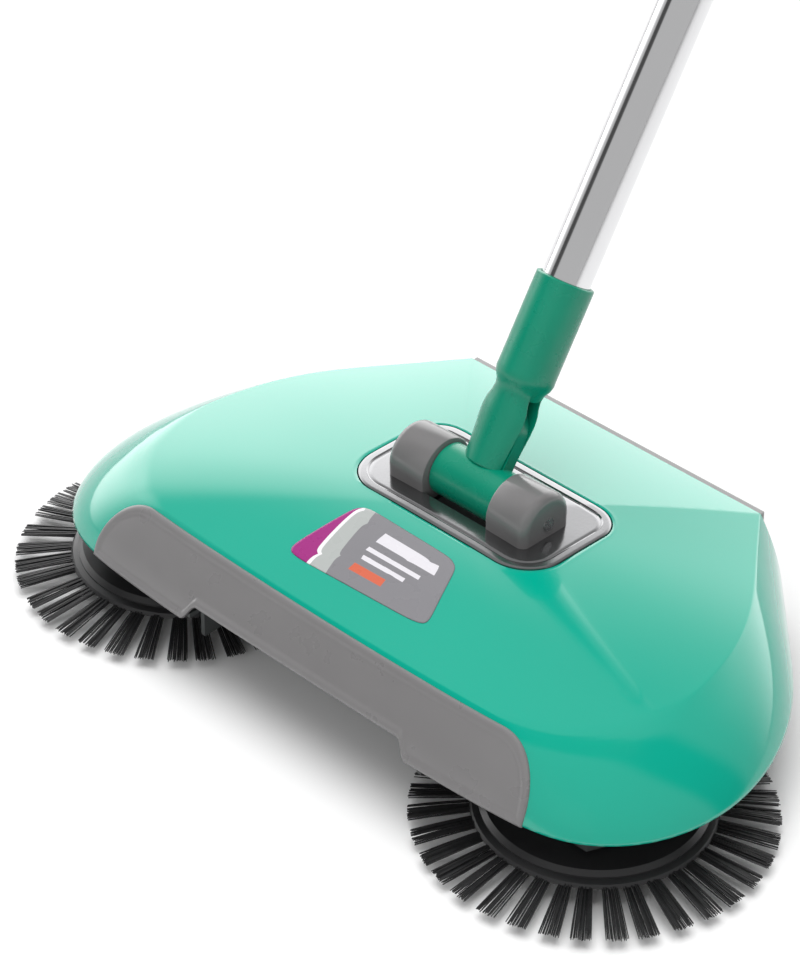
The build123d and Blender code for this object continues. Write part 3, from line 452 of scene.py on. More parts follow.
# -------------------------------------------------------------------------- operators
class SWEEPER_OT_shell(bpy.types.Operator):
    """Build the green top shell as one profile carried round the head"""

    bl_idname = "sweeper.shell"
    bl_label = "Top shell"

    def execute(self, context):
        sizes = context.scene.sweeper_sizes
        rise = sizes.crown_rise
        _, tray_high = box_mm("dust_tray")
        tray_gap, mitre_gap = 0.4, 0.05
        tray_half = tray_high[0] + tray_gap
        # rows crowd towards the crease on the top and below it
        top_rows = 1 - (1 - np.linspace(0, 1, 64)) ** 1.6
        side_rows = np.linspace(0, 1, 34)[1:] ** 1.3
        place = np.linspace(0, 1, 460)
        low = spline(KNOTS, SKIRT, place)
        high = spline(KNOTS, CREASE, place)
        # back wall on either side of the tray, then the lip over the tray
        wall_steps = np.linspace(0, 1, 6)[1:, None]
        lip_steps = np.linspace(0, 1, 60)[1:-1, None]
        inner_low = np.array([tray_half, BACK_Y])
        inner_high = np.array([min(tray_half, high[-1, 0]) - mitre_gap, BACK_Y])
        flip = np.array([-1, 1])
        low = np.concatenate([low, low[-1] + (inner_low - low[-1]) * wall_steps,
                              inner_high + (inner_high * flip - inner_high) * lip_steps,
                              (low[-1] + (inner_low - low[-1]) * wall_steps)[::-1] * flip])
        high = np.concatenate([high, high[-1] + (inner_high - high[-1]) * wall_steps,
                               inner_high + (inner_high * flip - inner_high) * lip_steps,
                               (high[-1] + (inner_high - high[-1]) * wall_steps)[::-1] * flip])
        round_part, wall_part = len(place), len(wall_steps)
        lip_part = slice(round_part + wall_part, round_part + wall_part + len(lip_steps))
        reach = np.linalg.norm(high - (0, MIDDLE_Y), axis=1)

        # how far down each column goes: behind the trim only a lip, over the tray less
        across = np.abs(low[:, 0])
        front_part = low[:, 1] < MIDDLE_Y - 40
        lap, tray_lip = 4.0, 0.8
        half, corner = sizes.fascia_half - lap, sizes.fascia_corner - lap
        past = np.clip(across - half + corner, 0, corner)
        arc = np.sqrt(np.clip(corner ** 2 - past ** 2, 0, None))
        lower = np.where(front_part & (across < half), sizes.fascia_top - lap - corner + arc, SKIRT_Z)
        lower[lip_part] = CREASE_Z - tray_lip
        depth = CREASE_Z - lower

        # rounding of the crease: tight round the back and sides, wide at the front corners
        front_corner = smooth_step(-high[:, 1], -(FRONT_Y + 92), -(FRONT_Y + 52))
        front_corner = front_corner * smooth_step(np.abs(high[:, 0]), 96, 116)
        tight, wide, back_edge = 0.7, 8.0, 0.5
        radius = tight + wide * front_corner
        radius[round_part:] = back_edge

        inner_share = self.opening_share(sizes, high)
        share = inner_share + (1 - inner_share) * top_rows[:, None]
        walk = np.concatenate([(share - 1) * reach, side_rows[:, None] * depth])
        fade = np.clip(1 - np.abs(walk) / (2.6 * radius), 0, 1) ** 0.5
        points = 0
        offsets = np.linspace(-1, 1, 9)
        weights = (1 - offsets ** 2) + 0.05
        for offset, weight in zip(offsets, weights / weights.sum()):
            points = points + weight * self.profile(walk + offset * radius * fade, low, high,
                                                    reach, rise)
        # rolled edge round the hinge plate's opening
        drops = np.array([3.0, 0.9, 0.25])
        roll = np.repeat(points[:1], len(drops), axis=0)
        roll[:, :, 2] -= drops[:, None]
        toward = (roll[2, :, :2] - (0, MIDDLE_Y)) / np.linalg.norm(
            roll[2, :, :2] - (0, MIDDLE_Y), axis=1)[:, None]
        points[0, :, :2] += toward * 0.8
        roll[2, :, :2] += toward * 0.22
        points = np.concatenate([roll, points])
        quads = lattice(points.shape[0], points.shape[1], wrap=True)[:, ::-1]
        piece = new_piece("top_shell_moulding", [(points, quads)], "head", 40.0, 0.02)
        wall(piece, sizes.shell_wall)
        finish_piece(piece, shell_green(context.scene.sweeper_colours), "shell_green", "top_shell")
        return {"FINISHED"}

    def opening_share(self, sizes, high):
        """Share at which each ray from the middle leaves the hinge plate's outline."""
        outline = plate_outline(sizes, np.linspace(0, 1, 1441), -0.35) - (0, MIDDLE_Y)
        angle = np.unwrap(np.arctan2(outline[:, 1], outline[:, 0]))
        ray = high - (0, MIDDLE_Y)
        turn = np.arctan2(ray[:, 1], ray[:, 0])
        turn = (turn - angle[0]) % (2 * np.pi) + angle[0]
        return np.interp(turn, angle, np.linalg.norm(outline, axis=1)) / np.linalg.norm(ray, axis=1)

    def profile(self, walk, low, high, reach, rise):
        """Point at a walk in mm from the crease: inwards over the dome when negative,
        down the bulging side when positive."""
        share = 1 + np.minimum(walk, 0) / reach
        lift = 1 - np.maximum(walk, 0) / (CREASE_Z - SKIRT_Z)
        blend = bulge(lift)[..., None]
        over = np.array([0, MIDDLE_Y]) + (high - (0, MIDDLE_Y)) * share[..., None]
        down = low + (high - low) * blend
        flat = np.where((walk < 0)[..., None], over, down)
        height = np.where(walk < 0, CREASE_Z + rise * (1 - np.abs(share) ** DOME_POWER),
                          SKIRT_Z + (CREASE_Z - SKIRT_Z) * lift)
        return np.concatenate([flat, height[..., None]], axis=-1)


class SWEEPER_OT_fascia(bpy.types.Operator):
    """Build the grey front trim with its raised rim"""

    bl_idname = "sweeper.fascia"
    bl_label = "Front trim"

    def execute(self, context):
        sizes = context.scene.sweeper_sizes
        half, top, corner = sizes.fascia_half, sizes.fascia_top, sizes.fascia_corner
        mouth_step = np.linspace(-4, 4, 13)
        flat_columns = np.concatenate([np.linspace(0, sizes.mouth_half - 4.5, 90),
                                       sizes.mouth_half + mouth_step,
                                       np.linspace(sizes.mouth_half + 5, half - corner, 54)])
        bend = np.radians(np.linspace(0, 90, 40))[1:]
        x = np.concatenate([flat_columns, half - corner + corner * np.sin(bend)])
        crest = np.concatenate([np.full(len(flat_columns), top),
                                top - corner + corner * np.cos(bend)])
        x = np.concatenate([-x[::-1], x[1:]])
        crest = np.concatenate([crest[::-1], crest[1:]])
        notch = 1 - smooth_step(np.abs(x), sizes.mouth_half - 3.5, sizes.mouth_half + 3.5)
        sill_z = SKIRT_Z - 0.8
        foot = sill_z + (sizes.mouth_height - sill_z) * notch
        rows = np.concatenate([np.linspace(0, 0.22, 12), np.linspace(0.25, 0.72, 14),
                               np.linspace(0.75, 1.0, 16)])
        height = foot + (crest - foot) * rows[:, None]
        across = np.broadcast_to(x, height.shape)
        surface = side_point(place_at(across, height), height)
        normal = np.cross(np.gradient(surface, axis=1), np.gradient(surface, axis=0))
        normal /= np.linalg.norm(normal, axis=-1, keepdims=True)
        distance = self.edge_distance(across, height, foot, sizes)
        width, bead = sizes.bead_width, sizes.bead_height
        crown = np.sqrt(np.clip(1 - (1 - np.clip(distance / (0.45 * width), 0, 1)) ** 2, 0, 1))
        fall = smooth_step(distance, 0.6 * width, 1.25 * width)
        edge_sunk, field = 0.5, 0.35
        proud = -edge_sunk + (bead + edge_sunk) * crown - (bead - field) * fall
        points = surface + normal * proud[..., None]
        quads = lattice(*height.shape)
        piece = new_piece("front_trim", [(points, quads)], "head", 50.0, 0.01)
        wall(piece, 2.2)
        finish_piece(piece, trim_grey(context.scene.sweeper_colours), "grey_gloss", "front_fascia")
        return {"FINISHED"}

    def edge_distance(self, across, height, foot, sizes):
        """Distance inside the trim's outline: a rounded rectangle less the mouth."""
        corner = sizes.fascia_corner
        right = np.abs(across) - (sizes.fascia_half - corner)
        up = height - (sizes.fascia_top - corner)
        outside = np.hypot(np.maximum(right, 0), np.maximum(up, 0))
        inside = np.minimum(np.maximum(right, up), 0)
        rounded = corner - outside - inside
        sill = (height - foot) * 0.9
        return np.minimum(rounded, sill)


class SWEEPER_OT_hinge(bpy.types.Operator):
    """Build the plated hinge insert and its two ears"""

    bl_idname = "sweeper.hinge"
    bl_label = "Hinge plate"

    def execute(self, context):
        sizes = context.scene.sweeper_sizes
        rise = sizes.crown_rise
        turn = np.linspace(0, 1, 241)[:-1]
        ear_low, ear_high = 18.5, 40.5
        steps = ((0.0, -4.0), (0.0, -0.5), (0.15, -0.1), (0.5, 0.1), (1.6, 0.15), (3.6, 0.15),
                 (3.9, -0.15), (4.3, -0.45), (4.9, -0.45), (5.2, -0.3), (6.5, -0.3))
        rings = []
        for inset, height in steps:
            flat = plate_outline(sizes, turn, inset)
            rings.append(np.concatenate([flat, (dome(flat, rise) + height)[:, None]], axis=1))
        pocket_front, pocket_back = HINGE[1] - 15.0, HINGE[1] + 17.0
        last = rings[-1]
        pocket = self.pocket_outline(turn, ear_low + 1, pocket_front, pocket_back)
        for blend in (0.25, 0.5, 0.75, 0.97):
            flat = last[:, :2] + (pocket - last[:, :2]) * blend
            rings.append(np.concatenate([flat, (dome(flat, rise) - 0.3)[:, None]], axis=1))
        for drop in (-0.6, -3.0, -12.0):
            rings.append(np.concatenate([pocket, (dome(pocket, rise) + drop)[:, None]], axis=1))
        rings = np.array(rings)
        quads = lattice(rings.shape[0], rings.shape[1], wrap=True)
        plate = new_piece("hinge_insert", [(rings, quads)], "head", 38.0, 0.01)
        wall(plate, 1.6)
        finish_piece(plate, plated(), "grey_gloss", "hinge_plate")

        parts = [self.ear(sizes, side, ear_low, ear_high) for _, side in SIDES]
        parts.append(self.well(ear_low, pocket_front, pocket_back))
        ears = new_piece("hinge_ears", parts, "head", 32.0, outward=True)
        finish_piece(ears, hinge_grey(context.scene.sweeper_colours), "grey_gloss")
        return {"FINISHED"}

    def pocket_outline(self, turn, half, front, back):
        """Rectangle round the hinge pocket, from its back-right corner round to the left."""
        start = (half, (front + back) / 2 + 8)
        path = np.array([start, (half, back), (-half, back), (-half, front), (half, front), start])
        keys = np.array([0.0, 0.08, 0.42, 0.60, 0.90, 1.0])
        return np.stack([np.interp(turn, keys, path[:, axis]) for axis in (0, 1)], axis=1)

    def ear(self, sizes, side, inner, outer):
        """A round-topped ear: a D profile carried across, its outer end rounded over."""
        radius, fillet = sizes.ear_radius, 4.0
        centre_y, centre_z = HINGE[1] - 0.8, HINGE[2] - 0.6
        foot = HINGE[2] - 12.0
        angle = np.radians(np.linspace(-8, 188, 60))
        bend = np.radians(np.linspace(0, 90, 9))
        stations = [(inner, 0.9), (inner + 0.25, 0.3), (inner + 0.9, 0.0), (outer - fillet, 0.0)]
        stations += [(outer - fillet + fillet * np.sin(b), fillet * (1 - np.cos(b)))
                     for b in bend[1:]]
        rings = []
        for x, inset in stations:
            r = radius - inset
            y = centre_y + r * np.cos(angle)
            z = centre_z + r * np.sin(angle)
            ring_y = np.concatenate([[y[0]], y, [y[-1]]])
            ring_z = np.concatenate([[foot], z, [foot]])
            rings.append(np.stack([np.full(len(ring_y), side * x), ring_y, ring_z], axis=1))
        return closed_body(np.array(rings))

    def well(self, half, front, back):
        """Dark floor of the pocket under the barrel."""
        floor = HINGE[2] - 15.2
        path = np.array([(-half - 1, front - 1), (half + 1, front - 1), (half + 1, back + 1),
                         (-half - 1, back + 1)])
        rings = [np.column_stack([path, np.full(4, level)]) for level in (floor, floor - 2)]
        return closed_body(np.array(rings))


class SWEEPER_OT_label(bpy.types.Operator):
    """Build the printed label that follows the top of the shell"""

    bl_idname = "sweeper.label"
    bl_label = "Label"

    def execute(self, context):
        sizes = context.scene.sweeper_sizes
        u = np.linspace(0, 1, 90)[None, :]
        v = np.linspace(0, 1, 70)[:, None]
        corners = np.array([(-31, 20.5), (-37, -20.5), (43, -17), (27, 19.5)], float)
        corners[:, 1] += BRUSH_Y
        near = corners[1] + (corners[2] - corners[1]) * u[..., None]
        far = corners[0] + (corners[3] - corners[0]) * u[..., None]
        flat = near + (far - near) * v[..., None]
        flat = self.rounded(flat, u, v)
        height = dome(flat, sizes.crown_rise) + 0.35
        points = np.concatenate([flat, height[..., None]], axis=-1)
        piece = new_piece("label", [(points, lattice(*height.shape))], "head", 60.0)
        layer = piece.data.uv_layers.new(name="label")
        uv = np.stack(np.broadcast_arrays(u, v), axis=-1).reshape(-1, 2)
        loops = np.empty(len(piece.data.loops), int)
        piece.data.loops.foreach_get("vertex_index", loops)
        layer.data.foreach_set("uv", uv[loops].ravel())
        wall(piece, 0.35)
        finish_piece(piece, label_print(context.scene.sweeper_colours), "label_film", "label_plate")
        return {"FINISHED"}

    def rounded(self, flat, u, v):
        """Pull the label's corners in, as a superellipse of the unit square."""
        a, b = 2 * u - 1, 2 * v - 1
        power = 9.0
        size = np.maximum(np.abs(a), np.abs(b)) + 1e-9
        norm = (np.abs(a) ** power + np.abs(b) ** power) ** (1 / power) + 1e-9
        pull = (size / norm)[..., None]
        middle = flat.mean(axis=(0, 1))
        return middle + (flat - middle) * pull


def label_print(colours):
    """Grey film with a pale stripe, a plum corner and plain bands, on the label's UV map."""
    material = moulded("label_film", (0.23, 0.225, 0.24), 0.97, (0.25, 0.32), 1500.0, 0.02, 30.0,
                       Specular_IOR_Level=0.2)
    nodes, links = material.node_tree.nodes, material.node_tree.links
    shader = nodes["Principled BSDF"]
    base = shader.inputs["Base Color"].links[0].from_socket
    place = nodes.new("ShaderNodeUVMap")
    place.uv_map = "label"
    parts = nodes.new("ShaderNodeSeparateXYZ")
    links.new(place.outputs["UV"], parts.inputs["Vector"])

    def number(value, kind, second):
        """One arithmetic node."""
        node = nodes.new("ShaderNodeMath")
        node.operation = kind
        links.new(value, node.inputs[0])
        if isinstance(second, float):
            node.inputs[1].default_value = second
        else:
            links.new(second, node.inputs[1])
        return node.outputs[0]

    def band(value, low, high):
        """1 between two limits."""
        above = number(value, "GREATER_THAN", low)
        return number(above, "MULTIPLY", number(value, "LESS_THAN", high))

    def paint(below, mask, tint):
        """Lay a tint over what is below where the mask is 1."""
        mix = nodes.new("ShaderNodeMix")
        mix.data_type = "RGBA"
        links.new(mask, mix.inputs[0])
        links.new(below, mix.inputs[6])
        mix.inputs[7].default_value = (*tint, 1)
        return mix.outputs[2]

    across, along = parts.outputs["X"], parts.outputs["Y"]
    slant = number(number(along, "MULTIPLY", 0.16), "ADD", across)
    painted = paint(base, number(slant, "LESS_THAN", 0.30), (0.42, 0.44, 0.43))
    painted = paint(painted, number(slant, "LESS_THAN", 0.185), (0.82, 0.80, 0.82))
    painted = paint(painted, number(slant, "LESS_THAN", 0.16), colours.accent)
    for low, high, first, last in ((0.66, 0.82, 0.36, 0.88), (0.50, 0.56, 0.36, 0.80),
                                   (0.37, 0.43, 0.38, 0.72)):
        strip = number(band(along, low, high), "MULTIPLY", band(across, first, last))
        painted = paint(painted, strip, (0.72, 0.70, 0.74))
    pill = number(band(along, 0.18, 0.29), "MULTIPLY", band(across, 0.38, 0.62))
    painted = paint(painted, pill, (0.62, 0.14, 0.08))
    links.new(painted, shader.inputs["Base Color"])
    return material


class SWEEPER_OT_side_brushes(bpy.types.Operator):
    """Build the fans of filament tufts round both side brushes"""

    bl_idname = "sweeper.side_brushes"
    bl_label = "Side brushes"

    def execute(self, context):
        sizes, colours = context.scene.sweeper_sizes, context.scene.sweeper_colours
        low, high = box_mm("brush_tufts_right")
        tip = high[0] - BRUSH_X
        hub = BRUSH_HIGH[0] - BRUSH_X
        for side, sign in SIDES:
            draws = np.random.default_rng(7 if sign > 0 else 8)
            strands = self.strands(sizes, draws, tip, hub, low[2], high[2])
            strands[..., 0] = strands[..., 0] * sign + sign * BRUSH_X
            strands[..., 1] += BRUSH_Y
            faces = self.strand_faces(strands.shape)
            piece = new_piece(f"side_brush_tufts_{side}", [(strands, faces[:, ::int(sign)])],
                              f"side_brush_{side}", 80.0)
            finish_piece(piece, bristle_black(colours), "bristle_black", f"brush_tufts_{side}")
            disc = self.disc(sign)
            cover = new_piece(f"side_brush_disc_{side}", [disc], f"side_brush_{side}", 30.0,
                              outward=True)
            finish_piece(cover, hub_black(), "hub_black")
        return {"FINISHED"}

    def strands(self, sizes, draws, tip, hub, floor, root):
        """Tapered square filaments: each tuft is a fan between a narrow root and a wide end.

        Result: tuft, strand, station along it, corner, xyz about the brush's middle.
        """
        count, per_tuft, stations = sizes.tufts, 26, 6
        spacing = 2 * np.pi / count
        tuft = np.arange(count)[:, None]
        turn = tuft * spacing + draws.normal(0, 0.012, (count, 1))
        lane = np.linspace(-1, 1, per_tuft)[None, :] + draws.normal(0, 0.03, (count, per_tuft))
        layer = draws.uniform(-1, 1, (count, per_tuft))
        reach = tip - np.abs(draws.normal(0, 0.5, (count, per_tuft))) - 0.2 * np.abs(lane)
        drift = draws.normal(0, 0.5, (count, 1))
        along = np.linspace(0, 1, stations)
        radius = (hub - 6) + (reach - hub + 6)[..., None] * along
        width = sizes.tuft_root + (sizes.tuft_tip - sizes.tuft_root) * along ** 0.8
        sideways = lane[..., None] * width / 2 + drift[..., None] * along ** 2
        height = root - 3.0 - (root - 3.0 - floor - 1.0) * along ** 1.15
        height = height + layer[..., None] * (1.3 - 0.5 * along)
        height = np.maximum(height, floor + 0.35)
        direction = np.stack([np.cos(turn), np.sin(turn)], axis=-1)[..., None, :]
        square = np.stack([-np.sin(turn), np.cos(turn)], axis=-1)[..., None, :]
        flat = direction * radius[..., None] + square * sideways[..., None]
        centre = np.concatenate([flat, np.broadcast_to(height, radius.shape)[..., None]], axis=-1)
        thick = sizes.strand / 2 * np.where(along > 0.99, 0.7, 1.0)
        corner = np.radians([45, 135, 225, 315])
        offset_side = np.cos(corner)[None, None, None, :, None] * thick[None, None, :, None, None]
        offset_up = np.sin(corner)[None, None, None, :, None] * thick[None, None, :, None, None]
        square3 = np.concatenate([square, np.zeros_like(square[..., :1])], axis=-1)[..., None, :]
        rings = centre[..., None, :] + square3 * offset_side + np.array([0, 0, 1.0]) * offset_up
        return rings

    def strand_faces(self, shape):
        """Side quads and end quads of every strand, as whole arrays."""
        stations = shape[2]
        one = lattice(stations, 4, wrap=True)
        ends = np.array([[3, 2, 1, 0], [4 * stations - 4, 4 * stations - 3, 4 * stations - 2,
                                        4 * stations - 1]])
        one = np.concatenate([one, ends])
        starts = np.arange(shape[0] * shape[1]) * stations * 4
        return (starts[:, None, None] + one).reshape(-1, 4)

    def disc(self, sign):
        """Stepped ring over the tufts' roots, turned about the spindle."""
        angle = np.linspace(0, 2 * np.pi, 97)[:-1]
        profile = [(30, 12.0), (43, 12.0), (47, 11.6), (50.5, 10.2), (51.5, 8.6), (50.0, 7.4),
                   (44, 7.4), (30, 7.4)]
        rings = [np.stack([sign * BRUSH_X + r * np.cos(angle), BRUSH_Y + r * np.sin(angle),
                           np.full_like(angle, z)], axis=1) for r, z in profile]
        rings.append(rings[0])
        rings = np.array(rings)
        return rings, lattice(rings.shape[0], rings.shape[1], wrap=True)


class SWEEPER_OT_roller(bpy.types.Operator):
    """Build the rows of tufts on the roller brush"""

    bl_idname = "sweeper.roller"
    bl_label = "Roller brush"

    def execute(self, context):
        low, high = box_mm("roller_bristles")
        centre = (low + high) / 2
        radius = (high[1] - low[1]) / 2
        draws = np.random.default_rng(11)
        rows, tufts, per_tuft, stations = 6, 22, 12, 3
        row = np.arange(rows)[:, None, None]
        tuft = np.arange(tufts)[None, :, None]
        share = (tuft + 0.5) / tufts
        x = low[0] + (high[0] - low[0]) * share + draws.normal(0, 0.9, (rows, tufts, per_tuft))
        turn = row * 2 * np.pi / rows + 0.5 * (share - 0.5) + draws.normal(0, 0.05, x.shape)
        along = np.linspace(0, 1, stations)
        reach = 8.5 + (radius - 8.5 - np.abs(draws.normal(0, 0.25, x.shape)))[..., None] * along
        splay = draws.normal(0, 0.03, x.shape)[..., None] * along
        angle = turn[..., None] + splay
        centre_line = np.stack([np.broadcast_to(x[..., None], angle.shape),
                                centre[1] + reach * np.cos(angle),
                                centre[2] + reach * np.sin(angle)], axis=-1)
        corner = np.radians([0, 120, 240])
        square = np.stack([np.zeros_like(angle), -np.sin(angle), np.cos(angle)], axis=-1)
        rings = (centre_line[..., None, :] + 0.28 * np.sin(corner)[:, None] * square[..., None, :]
                 + 0.28 * np.cos(corner)[:, None] * np.array([1.0, 0, 0]))
        one = lattice(stations, 3, wrap=True)
        starts = np.arange(rows * tufts * per_tuft) * stations * 3
        faces = (starts[:, None, None] + one).reshape(-1, 4)
        piece = new_piece("roller_tufts", [(rings, faces[:, ::-1])], "roller", 80.0)
        finish_piece(piece, bristle_black(context.scene.sweeper_colours), "bristle_black",
                     "roller_bristles")
        return {"FINISHED"}


class SWEEPER_OT_joint(bpy.types.Operator):
    """Build the green handle socket and its fork"""

    bl_idname = "sweeper.joint"
    bl_label = "Handle joint"

    def execute(self, context):
        colours = context.scene.sweeper_colours
        socket = self.socket()
        piece = new_piece("handle_socket_moulding", socket, "handle", 30.0, outward=True)
        bevel = piece.modifiers.new("Edge", "BEVEL")
        bevel.width = 0.5 * MM
        bevel.segments = 2
        bevel.limit_method = "ANGLE"
        bevel.angle_limit = math.radians(40)
        finish_piece(piece, socket_green(colours), "socket_green", "handle_socket")
        return {"FINISHED"}

    def ring(self, along, half_across, half_deep, power, turn):
        """Superellipse round the handle's axis at a distance from the hinge."""
        c, s = np.cos(turn), np.sin(turn)
        across = half_across * np.sign(c) * np.abs(c) ** (2 / power)
        deep = half_deep * np.sign(s) * np.abs(s) ** (2 / power)
        return HINGE + UP * along + across[:, None] * ACROSS + deep[:, None] * BEHIND

    def socket(self):
        """The round socket, its shoulder and the two fork cheeks."""
        turn = np.linspace(0, 2 * np.pi, 97)[:-1]
        body = [(42.5, 9.6, 8.8, 2.2), (44.5, 10.6, 10.0, 2.1), (46.5, 11.2, 11.0, 2.0),
                (49.0, 12.6, 12.6, 2.0), (51.5, 13.3, 13.3, 2.0), (54.0, 13.2, 13.2, 2.0),
                (74.0, 13.2, 13.2, 2.0), (95.4, 13.2, 13.2, 2.0), (96.0, 12.8, 12.8, 2.0),
                (96.0, 11.3, 11.3, 2.0), (90.0, 11.2, 11.2, 2.0)]
        rings = [self.ring(*station, turn) for station in body]
        return [closed_body(np.array(rings)), self.cheek(-1.0), self.cheek(1.0)]

    def cheek(self, side):
        """One cheek of the fork: the part of an ellipse beyond the slot, with a waist above
        a bulge round the tilt pin."""
        slot = 4.0
        rings = []
        for along, half_across, half_deep in (
                (9.0, 11.0, 8.4), (9.6, 11.6, 9.0), (15.0, 11.8, 9.2), (21.0, 12.3, 9.4),
                (28.0, 13.1, 9.6), (33.0, 13.3, 9.8), (37.0, 12.8, 9.8), (41.0, 11.4, 9.8),
                (44.0, 10.8, 10.2), (46.5, 11.2, 11.0), (49.0, 12.6, 12.6)):
            start = math.asin(slot / half_deep)
            turn = np.linspace(start, math.pi - start, 41)
            across = half_across * np.cos(turn)[:, None] * ACROSS
            deep = side * half_deep * np.sin(turn)[:, None] * BEHIND
            rings.append(HINGE + UP * along + across + deep)
        return closed_body(np.array(rings))


class SWEEPER_OT_grip(bpy.types.Operator):
    """Build the ribbed grip at the top of the handle"""

    bl_idname = "sweeper.grip"
    bl_label = "Grip"

    def execute(self, context):
        start, end = GRIP_SPAN
        station = np.linspace(start, end, 420)
        turn = np.linspace(0, 2 * np.pi, 73)[:-1]
        ends = np.minimum(station - start, end - station)
        body = 14.3 - 2.2 * (1 - np.sqrt(np.clip(1 - (1 - np.clip(ends / 3.0, 0, 1)) ** 2, 0, 1)))
        rib = 0.55 * smooth_step(np.cos((station - start) * 2 * np.pi / 6.5), -0.2, 0.5)
        rib = rib * smooth_step(ends, 9, 14)
        waist = 1.0 * np.sin(np.pi * (station - start) / (end - start)) ** 2
        radius = (body - rib - waist)[:, None]
        rings = (HINGE + station[:, None, None] * UP
                 + (radius * np.cos(turn))[..., None] * ACROSS
                 + (radius * np.sin(turn))[..., None] * BEHIND)
        piece = new_piece("soft_grip", [closed_body(rings)], "handle", 60.0, outward=True)
        finish_piece(piece, moulded("soft_grip", context.scene.sweeper_colours.grip, 0.85,
                                    (0.5, 0.65), 2200.0, 0.15, 40.0), "grip_grey", "grip")
        return {"FINISHED"}


class SWEEPER_OT_tyres(bpy.types.Operator):
    """Build the ribbed tyres of the drive wheels"""

    bl_idname = "sweeper.tyres"
    bl_label = "Tyres"

    def execute(self, context):
        for side, _ in SIDES:
            low, high = box_mm(f"tyre_{side}")
            centre, outer = (low + high) / 2, (high[1] - low[1]) / 2
            half = (high[0] - low[0]) / 2
            turn = np.linspace(0, 2 * np.pi, 433)[:-1]
            tread = 0.5 * smooth_step(np.cos(turn * 48), -0.1, 0.4)
            profile = ((-half, outer - 3.4, 0), (-half, outer - 1.4, 0),
                       (-half + 0.5, outer - 0.5, 0.3),
                       (-half + 1.4, outer - 0.05, 1), (0, outer, 1), (half - 1.4, outer - 0.05, 1),
                       (half - 0.5, outer - 0.5, 0.3), (half, outer - 1.4, 0),
                       (half, outer - 3.4, 0))
            rings = [np.stack([np.full_like(turn, centre[0] + x),
                               centre[1] + (r - tread * share) * np.cos(turn),
                               centre[2] + (r - tread * share) * np.sin(turn)], axis=1)
                     for x, r, share in profile]
            rings.append(rings[0])
            rings = np.array(rings)
            faces = lattice(rings.shape[0], rings.shape[1], wrap=True)
            piece = new_piece(f"ribbed_tyre_{side}", [(rings, faces)], f"wheel_{side}", 40.0, 0.01,
                              outward=True)
            finish_piece(piece, moulded("tyre_rubber", (0.03, 0.03, 0.031), 0.8, (0.55, 0.7),
                                        1800.0, 0.12, 60.0), "tyre_rubber", f"tyre_{side}")
        return {"FINISHED"}


class SWEEPER_OT_finishes(bpy.types.Operator):
    """Give every CAD piece that stays in view its finish"""

    bl_idname = "sweeper.finishes"
    bl_label = "Finishes"

    def execute(self, context):
        colours = context.scene.sweeper_colours
        base = moulded("base_grey", (0.05, 0.055, 0.055), 0.85, (0.4, 0.55), 1600.0, 0.12, 20.0)
        tray = moulded("tray_grey", (0.30, 0.29, 0.29), 0.94, (0.2, 0.3), 1400.0, 0.05, 22.0)
        gears = moulded("gear_white", (0.72, 0.71, 0.66), 0.94, (0.32, 0.45), 1200.0, 0.05, 60.0)
        wheel = moulded("wheel_grey", (0.12, 0.12, 0.122), 0.9, (0.35, 0.5), 1500.0, 0.08, 50.0)
        steel = moulded("bright_steel", (0.62, 0.62, 0.63), 0.9, (0.22, 0.34), 900.0, 0.04, 150.0,
                        Metallic=1.0)
        brass = moulded("bush_brass", (0.60, 0.45, 0.20), 0.85, (0.3, 0.42), 1400.0, 0.06, 200.0,
                        Metallic=1.0)
        collar = moulded("collar_grey", (0.16, 0.16, 0.162), 0.9, (0.3, 0.42), 1500.0, 0.06, 40.0)
        chosen = {
            "base_plate": base, "dust_tray": tray, "trunnion": socket_green(colours),
            "lower_tube": polished_tube(), "middle_tube": polished_tube(),
            "upper_tube": polished_tube(), "lower_coupler": collar,
            "upper_coupler": collar, "end_cap": collar, "roller_core": wheel,
        }
        for stem, material in (("drive_wheel", wheel), ("caster_wheel", wheel),
                               ("roller_pinion", gears), ("rear_pinion", gears),
                               ("front_pinion", gears), ("crown_gear", gears),
                               ("brush_hub", hub_black()), ("roller_bush", brass),
                               ("spindle_bush", brass)):
            for side, _ in SIDES:
                chosen[f"{stem}_{side}"] = material
        for name, node in frame["nodes"].items():
            if node.hide_render:
                continue
            node.data.materials.clear()
            node.data.materials.append(chosen.get(name, steel))
        return {"FINISHED"}


